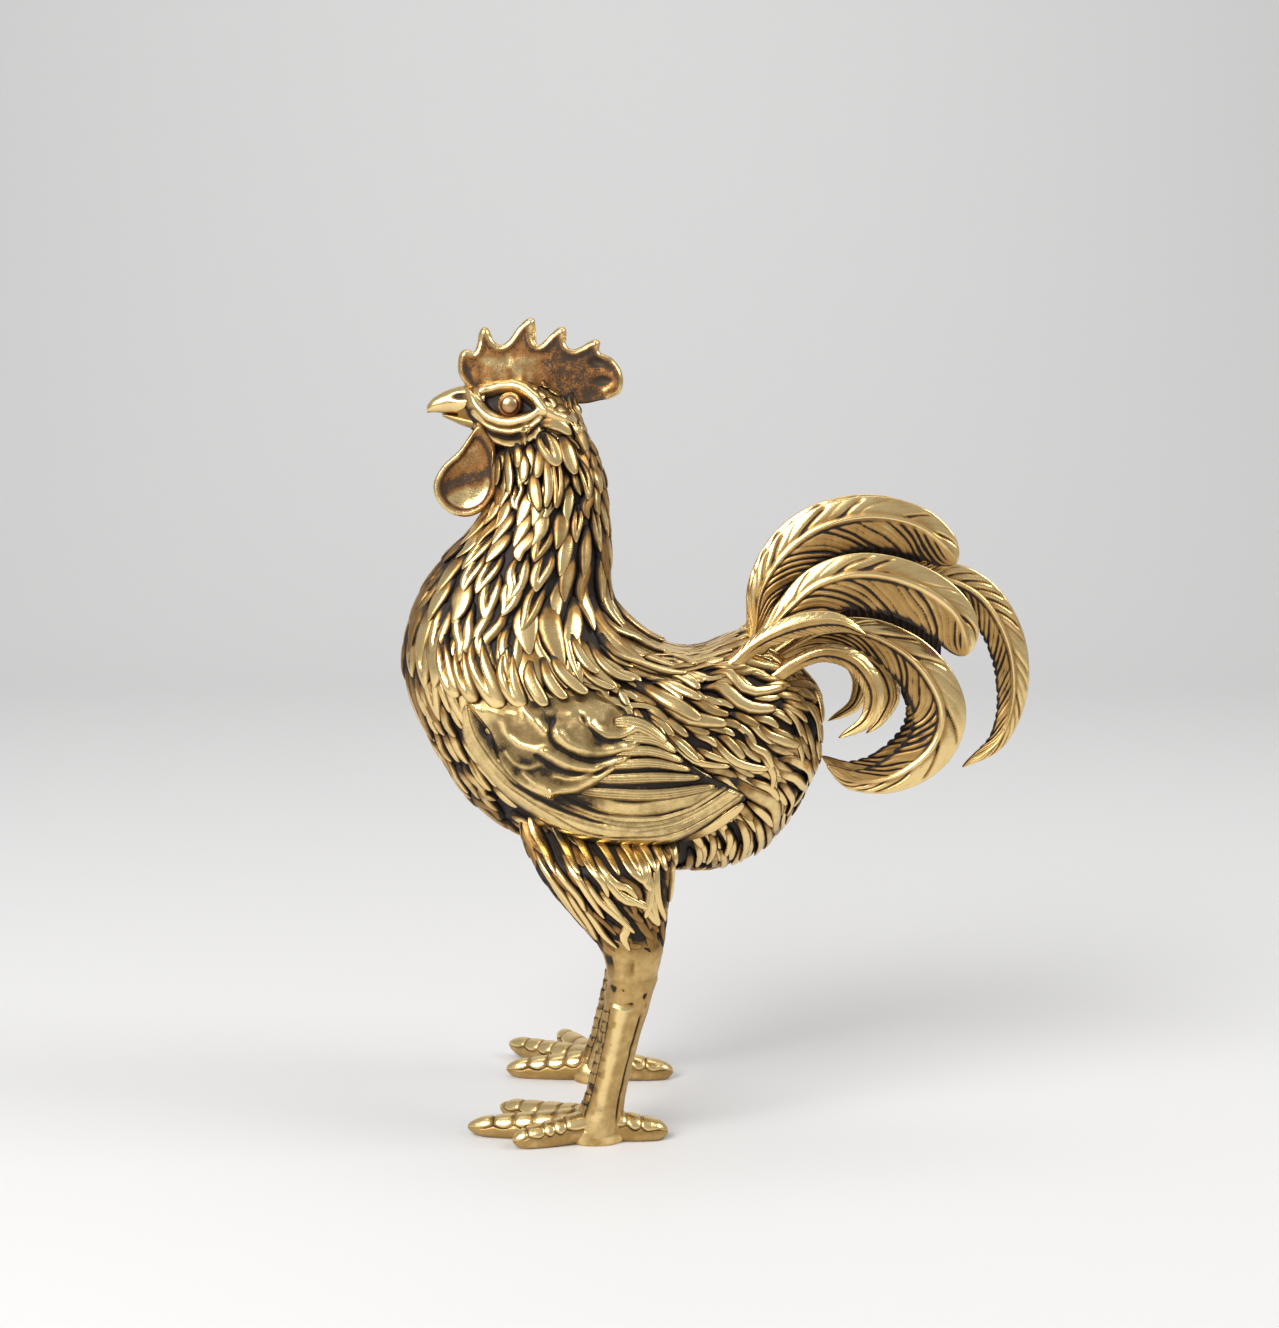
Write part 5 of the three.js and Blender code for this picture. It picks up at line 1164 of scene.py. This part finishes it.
# %% Skull and face
HEAD = [
    [-47.6, 136, 130.6, 2.2], [-45.5, 136.7, 129.4, 3.4], [-42.5, 137.4, 127, 5], [-38.7, 138, 125, 6.5],
    [-34.5, 138.1, 124.3, 7.4], [-30, 136.8, 124.4, 7.6], [-27, 134, 124.6, 6.4], [-25.2, 131, 124.8, 4],
    [-24.6, 129, 126, 1.4],
]
BROW = [
    [-43.4, 136.2], [-42.2, 136.8], [-40.2, 137.1], [-37.4, 137.3], [-35, 136.4], [-33, 134.6],
    [-31.5, 132.8], [-29.9, 132], [-27.6, 131.2],
]
OVER_BROW = [[-42.8, 138.7], [-40.6, 139.2], [-37.6, 139.1], [-34.7, 137.9], [-32.5, 136.2]]
LIDS = [
    ([[-46.2, 137.2], [-45.2, 135.4], [-43.9, 133.2], [-41.6, 131.4], [-38.2, 130.6], [-34.6, 131.3],
        [-32.6, 132.6]], 1.1, 1.4),
    ([[-44.6, 132.2], [-42, 129.9], [-38.2, 128.9], [-34.4, 129.6], [-32.3, 131]], 0.55, 0.75),
    ([[-44, 130], [-41.4, 127.5], [-37.9, 126.5], [-34.4, 127.4], [-32.3, 129.2]], 0.65, 0.9),
]
SOCKET = [
    [-43.6, 135.4], [-40.6, 136.4], [-37.2, 136.6], [-34.4, 134.9], [-32.9, 132.8], [-35.6, 131.8],
    [-38.6, 131.5], [-41.6, 132.8], [-43.6, 135.4],
]
EAR = [[-34.6, 129.3], [-35.2, 127.6], [-34.4, 125.2], [-32.9, 125.9], [-32.6, 127.6]]


def oval(table, place):
    """x, middle, half height and half width of the oval at a place of a table: x, top, bottom, half width."""
    row = smooth_line(table, place)
    return row[..., 0], (row[..., 1] + row[..., 2]) / 2, (row[..., 1] - row[..., 2]) / 2, row[..., 3]


def face_height(place):
    """Height and tone of the face at side view places: its ridges are bells over the way to their lines."""
    brow = bell(from_curve(place, BROW, 40), 1.3)
    over = from_curve(place, OVER_BROW, 30)
    height, tone = 1.8 * brow, 0.42 + 0.65 * brow - 0.5 * bell(over, 0.35)
    for line, width, rise in LIDS:
        distance = from_curve(place, line, 40)
        ridge = bell(distance, width)
        height = np.maximum(height, rise * ridge)
        tone = tone + 0.55 * ridge - 0.4 * bell(distance - 1.5 * width, 0.3)
    socket = even_line(SOCKET, 60)
    within = inside(place, socket) * blend(0, 0.8, from_line(place, socket))
    ear = bell(from_curve(place, EAR, 30), 0.6)
    height = height * (1 - within) - 1.5 * within + 0.9 * ear
    return height, tone * (1 - within) + 0.5 * ear


share, turn = grid(0, 8, 220, 220)
x, middle, rise, half = oval(HEAD, share)
place = np.stack(np.broadcast_arrays(x, middle + rise * np.cos(turn)), -1)
height, tone = face_height(place)
height = height * blend(0.15, 0.5, np.abs(np.sin(turn)))
lump = 0.12 * noise(place[..., 0] * 0.8, place[..., 1] * 0.8, np.sign(np.sin(turn)))
skull = np.stack([place[..., 0], (half + height + lump) * np.sin(turn),
                  middle + (rise + 0.6 * height + lump) * np.cos(turn)], -1)
make_piece("skull", skull, tone, head_brass, ["head"])

# %% [markdown]
# ### Small feathers round the ear
# Behind the cheek the face ends under small pointed feathers, and a row of beads runs from the brow to the
# nape. They lie on the skull, whose half width at a side view place is that of its oval.

# %% Ear feathers and beads
EAR_LEAVES = [
    [-32, 128.9, -31.2, 127, -30, 125, -28.8, 122.8, 4],
    [-28.6, 128.4, -27.6, 126, -26.8, 123.8, -25.8, 121.2, 3],
    [-26.4, 130, -25.2, 128.6, -24.4, 127, -23.8, 125.2, 2.6],
    [-32.4, 130.4, -30.4, 130.5, -28.4, 129.9, -26.6, 128.4, 2.5],
    [-25.9, 124.4, -24.4, 121.7, -23.6, 119, -23.5, 116.6, 2.3],
    [-32.3, 126.2, -32.3, 124.2, -32.5, 122.3, -32.9, 120.6, 2.1],
    [-35.6, 125.4, -35.2, 123.4, -35.2, 121.6, -35.5, 119.8, 2.1],
    [-31.3, 125.4, -30.8, 122, -30.6, 118.4, -31.2, 115.4, 2],
    [-29.7, 125.6, -29.2, 122.2, -28.9, 118.6, -29.3, 115.2, 2.1],
    [-38.2, 125.9, -38.1, 123, -37.9, 120.4, -38, 117.6, 2],
    [-40.2, 124.9, -40.1, 122.8, -40.2, 121, -40.5, 119.2, 1.9],
    [-33.4, 122, -33.3, 119.4, -32.9, 117, -32.3, 114.8, 2.4],
    [-28.6, 132.6, -27.2, 131.6, -26, 130, -25.2, 128.4, 1.8],
    [-41.6, 127.4, -41.4, 125.6, -41.3, 124, -41.5, 122.4, 1.8],
    [-36.6, 127, -36.3, 125.4, -36.2, 124, -36.4, 122.4, 1.8],
]
BEADS = [
    [-34.3, 137.5, -33, 136.4, 1.7], [-33, 136.2, -31.4, 134.9, 2], [-31.4, 134.9, -29.4, 133.4, 2.5],
    [-29.4, 133.6, -27.4, 132, 2.7], [-27.4, 132.4, -25.7, 130.6, 2.5], [-25.8, 131, -24.6, 129, 2.2],
    [-32.6, 137.8, -30.8, 136.8, 2], [-30.8, 136.9, -28.8, 135.4, 2.3], [-28.8, 135.5, -26.9, 133.8, 2.4],
    [-27, 133.9, -25.3, 131.9, 2.2],
]


def on_head(side):
    """Surface of the skull, running into the neck, in side view numbers: x, z and a height over the bone."""
    def surface(x, z, height):
        x, z, height = np.broadcast_arrays(x, z, height)
        _, middle, rise, half = oval(HEAD, np.interp(x, [station[0] for station in HEAD], np.arange(9.0)))
        bone = half * arch((z - middle) / rise, 0.02)
        row = trunk_frame(on_flank(np.stack([x, np.minimum(z, 126)], -1))[..., 0])
        reach = ((np.stack([x, z], -1) - row[0]) * row[2]).sum(-1) / row[1]
        neck = row[3] * arch(reach, 0.02)
        y = np.maximum(np.where(z > 124.8, bone, 0), np.where(z < 130, neck, 0))
        return np.stack([x, side * (y - SKIN + height), z], -1)
    return surface


for word, side in SIDES.items():
    rows = np.array(EAR_LEAVES)
    points, tone = laid(on_head(side), rows[:, :8].reshape(-1, 4, 2), rows[:, 8] * 1.1, 0.95, lift=0.7,
        point=0.45, groove=np.where(np.arange(len(rows)) % 4 == 0, 0.9, 0),
        dull=0.1 + 0.12 * (np.arange(len(rows)) % 3))
    make_piece(f"ear_{word}_feathers", points, tone, feather_brass, ["neck_hackle", "head"])
    rows = np.array(BEADS)
    ends = rows[:, :4].reshape(-1, 2, 2)
    paths = ends[:, :1] + (ends[:, 1:] - ends[:, :1]) * (np.arange(4) / 3)[None, :, None]
    points, tone = laid(on_head(side), paths, rows[:, 4], 1.0, lift=0.2, point=0.4, sink=-0.35, root=0.4,
                        groove=np.where(np.arange(len(rows)) % 3 == 2, 0.7, 0))
    make_piece(f"brow_{word}_beads", points, tone, head_brass, ["head"])

# %% [markdown]
# ### Beak, eyes, wattles and comb
# The beak is two tapering stacks that meet on the mouth line. The eyes are beads in their sockets. A wattle
# is one profile carried round a drop: a dished middle, a smooth rim and a plain back. The comb is a plate
# with a rounded rim, whose thickness follows the distance from its toothed outline.

# %% Beak and eyes
UPPER = [
    [-42.6, 137.4, 131.4, 4.3], [-46.5, 137.1, 131.8, 3.2], [-49.8, 136.2, 132.2, 2],
    [-52.2, 134.9, 132.4, 1.2], [-53.4, 133.6, 132.3, 0.45],
]
LOWER = [
    [-42.6, 131.5, 128.6, 3.9], [-46.5, 131.9, 129.8, 2.5], [-49, 132.1, 130.9, 1.4],
    [-50.6, 132.2, 131.6, 0.5],
]
EYE_RADIUS, EYE_SHIFT = 2.35, (0.9, 0, 0)
PUPIL = 0.75  # angle from the eye's axis to the line round its pupil


def beak(table):
    """Rings of a mandible: ovals that taper along the table, a little keeled on top."""
    share, turn = grid(0, len(table) - 1, 60, 48)
    x, middle, rise, half = oval(table, share)
    keel = 1 + 0.1 * bell(np.minimum(turn, 2 * np.pi - turn), 0.3)
    return np.stack(np.broadcast_arrays(x, half * np.sin(turn), middle + rise * keel * np.cos(turn)), -1)


points = beak(UPPER)
nostril = np.hypot((points[..., 0] + 47.0) / 1.7, (points[..., 2] - 135.3) / 0.6)
points[..., 1] *= 1 - 0.25 * np.exp(-nostril**4)
tone = 0.85 - 0.85 * np.exp(-nostril**4) - 0.5 * bell(points[..., 2] - 132.2, 0.35)
make_piece("beak_upper", points, tone, head_brass, ["head"])
points = beak(LOWER)
make_piece("beak_lower", points, 0.6 + 0 * points[..., 0], head_brass, ["head"])

for word, (low, high) in (("left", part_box("eye_left")), ("right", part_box("eye_right"))):
    centre = (np.array(low) + np.array(high)) / 2 / MM - SHIFT + EYE_SHIFT
    share, turn = grid(0.03, np.pi - 0.03, 40, 48)
    radius = EYE_RADIUS - 0.12 * bell(share - PUPIL, 0.09)
    side = SIDES[word]
    points = centre + np.stack([
        radius * np.sin(share) * np.cos(turn), side * radius * np.cos(share) + 0 * turn,
        radius * np.sin(share) * np.sin(turn)], -1)
    # painted highlight: the upper part of the bead is painted brighter
    tone = (0.62 - 0.5 * bell(share - PUPIL, 0.12)
        + 0.25 * blend(0.2, 0.9, np.sin(turn)) * blend(0.1, 0.5, share))
    make_piece(f"eye_{word}_bead", points, tone, eye_brass, [f"eye_{word}"])

# %% Wattles
DROP = [
    [-42.6, 130], [-40.7, 126.6], [-40.3, 122.6], [-40.4, 118.8], [-42.2, 115.2], [-45.6, 113.4],
    [-49, 114], [-51.4, 116.4], [-52, 119.4], [-50.4, 122.6], [-47.4, 125.4], [-45.2, 128.4],
    [-43.8, 130.2], [-42.6, 130],
]
WATTLE_PROFILE = [
    [0.02, 0.35], [0.3, 0.38], [0.55, 0.5], [0.7, 0.78], [0.8, 1.15], [0.88, 1.4], [0.94, 1.35],
    [0.99, 0.9], [1, 0.2], [0.99, -0.5], [0.9, -1.1], [0.6, -1.4], [0.02, -1.5],
]
HEART = np.array([-45.8, 119.6])  # the profile is carried round this place
WATTLE_SPREAD = 3.3  # from the centre line
drop = even_line(DROP, 121)[:-1]
profile = smooth_line(WATTLE_PROFILE, np.linspace(0, len(WATTLE_PROFILE) - 1, 70))
for word, side in SIDES.items():
    flat = HEART + (drop - HEART)[None] * profile[:, :1, None]
    level = side * (WATTLE_SPREAD + profile[:, 1:]
        + 0.08 * noise(flat[..., 0] * 0.6, flat[..., 1] * 0.6, 1.0))
    points = np.stack([flat[..., 0], level, flat[..., 1]], -1)
    x, z = flat[..., 0], flat[..., 1]
    # the rim is bright as polish, and brighter towards the front as a painted highlight
    tone = 0.42 + (0.2 + 0.35 * blend(-43, -49, x)) * bell(profile[:, :1] - 0.93, 0.08)
    tone = tone - 0.3 * bell(profile[:, :1] - 0.77, 0.05)
    # painted shade and painted highlight in the dish: dark above the shore line, bright below it
    shore = z - 118.4 - 0.3 * (x + 46) - 0.5 * noise(x * 0.9, z * 0.9)
    bowl_highlight = blend(0.9, -0.9, shore) * blend(0.78, 0.7, profile[:, :1])
    tone = tone - 0.34 * bell(shore - 1.6, 1.5) * (profile[:, :1] < 0.8) + 0.6 * bowl_highlight
    tone = tone + 0.06 * blend(120.5, 123, z) * (profile[:, :1] < 0.7)
    make_piece(f"wattle_{word}_drop", points, tone, comb_brass, [f"wattle_{word}"])

# %% Comb
COMB_TOP = [
    [-44.6, 136], [-45.9, 136.8], [-47.5, 139.3], [-47.6, 142], [-47, 143.5], [-45.8, 143.9],
    [-44.7, 143.5], [-44.1, 144.8], [-43.8, 146.6], [-43.3, 147.6], [-42.5, 147.9], [-41.8, 147.3],
    [-41.3, 145.9], [-40.4, 144.9], [-39.4, 144.8], [-38.2, 145.7], [-36.8, 147.6], [-35.3, 149.1],
    [-34.3, 149.6], [-33.5, 149.2], [-33.5, 147.9], [-33.9, 146.4], [-33.6, 145.2], [-32.9, 144.7],
    [-32.1, 145.1], [-30.8, 146.4], [-29.3, 147.7], [-28.3, 147.9], [-27.7, 147.2], [-28, 145.8],
    [-27.6, 144.5], [-26.6, 143.9], [-25.2, 144.3], [-23.5, 145.3], [-22.3, 145.7], [-21.5, 145.1],
    [-21.7, 144], [-21.3, 143.2], [-19.4, 142.3], [-17.9, 140.5], [-17.3, 138.3], [-17.9, 135.9],
    [-19.8, 134.9],
]
KNOBS = [[-46.4, 142.9], [-42.6, 146.9], [-34.4, 148.6], [-28.5, 146.9], [-22.5, 144.8]]
COMB_SEAT = [
    [-44.4, 135.6], [-41, 135.6], [-36, 135.6], [-31, 135.4], [-27.5, 134.2], [-24.5, 134], [-21.5, 134.6],
    [-19.9, 134.8],
]
COMB_HALF = 1.38  # half thickness at the seat
DIMPLES = [(-22.3, 141.5, 1.2, 0.8), (-21.2, 138.1, 1.5, 0.7)]
top, seat = even_line(COMB_TOP, 320), even_line(COMB_SEAT, 320)
up = (1 - np.linspace(1, 0, 34) ** 1.7)[None, :, None]
place = seat[:, None] + (top - seat)[:, None] * up
x, z = place[..., 0], place[..., 1]
distance = from_line(place, top)
rim = arch((1 - distance).clip(0))
taper = 1 - 0.45 * blend(137, 150, z)
dish = blend(0.9, 2.0, distance)
field = 0.1 * noise(x * 0.7, z * 0.7, 5.0)
dimple = sum(np.exp(-(((x - a) / width) ** 2 + ((z - b) / height) ** 2) ** 2)
             for a, b, width, height in DIMPLES)
knob = sum(np.exp(-(((x - a) ** 2 + (z - b) ** 2) / 1.1**2)) for a, b in KNOBS)
lobe = bell(np.hypot((x + 21.2) / 1.25, z - 138.1) - 1.75, 0.55) * blend(-22.4, -20.4, x)
half = (COMB_HALF * taper * rim - dish * (0.36 + field) * taper - 0.45 * dimple
    + (0.35 * knob + 0.25 * lobe) * rim)
half = np.maximum(half, 0.02)
patch = blend(-47, -41, x) * blend(-30, -35, x) * blend(144, 141.2, z) * blend(136.6, 138, z)
mottle = noise(x * 1.1, z * 1.1, 3.0)
tone = (0.26 + 0.1 * mottle + 0.16 * blend(-26, -38, x) * blend(139, 143.5, z)
    + 0.62 * (1 - blend(0.35, 1.2, distance)) - 0.2 * bell(distance - 1.5, 0.4) - 0.8 * dimple)
tone = tone + 0.5 * patch * (0.7 + 0.3 * mottle) + 0.35 * lobe + 0.3 * knob
points, tone = plate_rings(place, half, -half, tone, tone)
make_piece("comb_plate", points, tone, comb_brass, ["comb"])

# %% [markdown]
# ## Pins and dowels
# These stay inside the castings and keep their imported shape. They get the finish of turned brass.

# %% Pins
for name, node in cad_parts.items():
    if not node.hide_render:
        node.data.materials.clear()
        node.data.materials.append(pin_brass)
        print("pin:", name)

# %% [markdown]
# ## Floor and light
# A pale sweep runs from the table up behind the bird. Metal is seen by what it mirrors, so the world is a
# pale even light, one large soft lamp stands over the bird's left front, and a smaller one lights the tail. A
# third one shines on the upright part of the sweep alone, to keep it as pale as the floor.

# %% Sweep
sweep_x = np.linspace(-1.6, 1.6, 3)[:, None]
bend = np.linspace(0, np.pi / 2, 24)
run = np.concatenate([[-1.6, 0.2], 0.6 + 0.5 * np.sin(bend), [1.1]])
rise = np.concatenate([[0, 0], 0.5 - 0.5 * np.cos(bend), [1.8]])
points = np.stack(np.broadcast_arrays(sweep_x, run, rise), -1)
rows, columns = points.shape[:2]
a = (np.arange(rows - 1)[:, None] * columns + np.arange(columns - 1)).ravel()
faces = np.stack([a, a + columns, a + columns + 1, a + 1], -1)
sweep_mesh = bpy.data.meshes.new("sweep")
sweep_mesh.from_pydata(points.reshape(-1, 3).tolist(), [], faces.tolist())
sweep_mesh.polygons.foreach_set("use_smooth", np.ones(len(faces), bool))
sweep = bpy.data.objects.new("sweep", sweep_mesh)
bpy.context.scene.collection.objects.link(sweep)
pale = bpy.data.materials.new("pale_sweep")
pale.use_nodes = True
pale.node_tree.nodes["Principled BSDF"].inputs["Base Color"].default_value = (0.7, 0.695, 0.685, 1)
pale.node_tree.nodes["Principled BSDF"].inputs["Roughness"].default_value = 0.6
sweep_mesh.materials.append(pale)

# %% Lamps and world
def soft_lamp(name, place, aim, size, power):
    """Square area lamp at a place in metres, turned towards its aim."""
    lamp = bpy.data.objects.new(name, bpy.data.lights.new(name, "AREA"))
    lamp.data.shape = "SQUARE"
    lamp.data.size, lamp.data.energy = size, power
    lamp.location = place
    away = np.array(place) - np.array(aim)
    lamp.rotation_euler = (math.acos(away[2] / np.linalg.norm(away)), 0, math.atan2(away[0], -away[1]))
    bpy.context.scene.collection.objects.link(lamp)


soft_lamp("key_lamp", (-0.42, -0.5, 0.56), (0, 0, 0.08), 0.55, 7.0)
soft_lamp("sweep_lamp", (0, 0.3, 1.1), (0, 1.1, 0.5), 0.8, 3.6)
soft_lamp("tail_lamp", (0.5, -0.1, 0.5), (0, 0, 0.08), 0.25, 1.6)

world = bpy.data.worlds.new("studio")
bpy.context.scene.world = world
world.use_nodes = True
background = world.node_tree.nodes["Background"]
background.inputs["Color"].default_value = (0.97, 0.97, 1.0, 1)
background.inputs["Strength"].default_value = 0.45
bpy.context.scene.view_settings.view_transform = "Standard"

# %% Sizes
print("triangles:", sum(count for _, count in made), "pieces:", len(made))
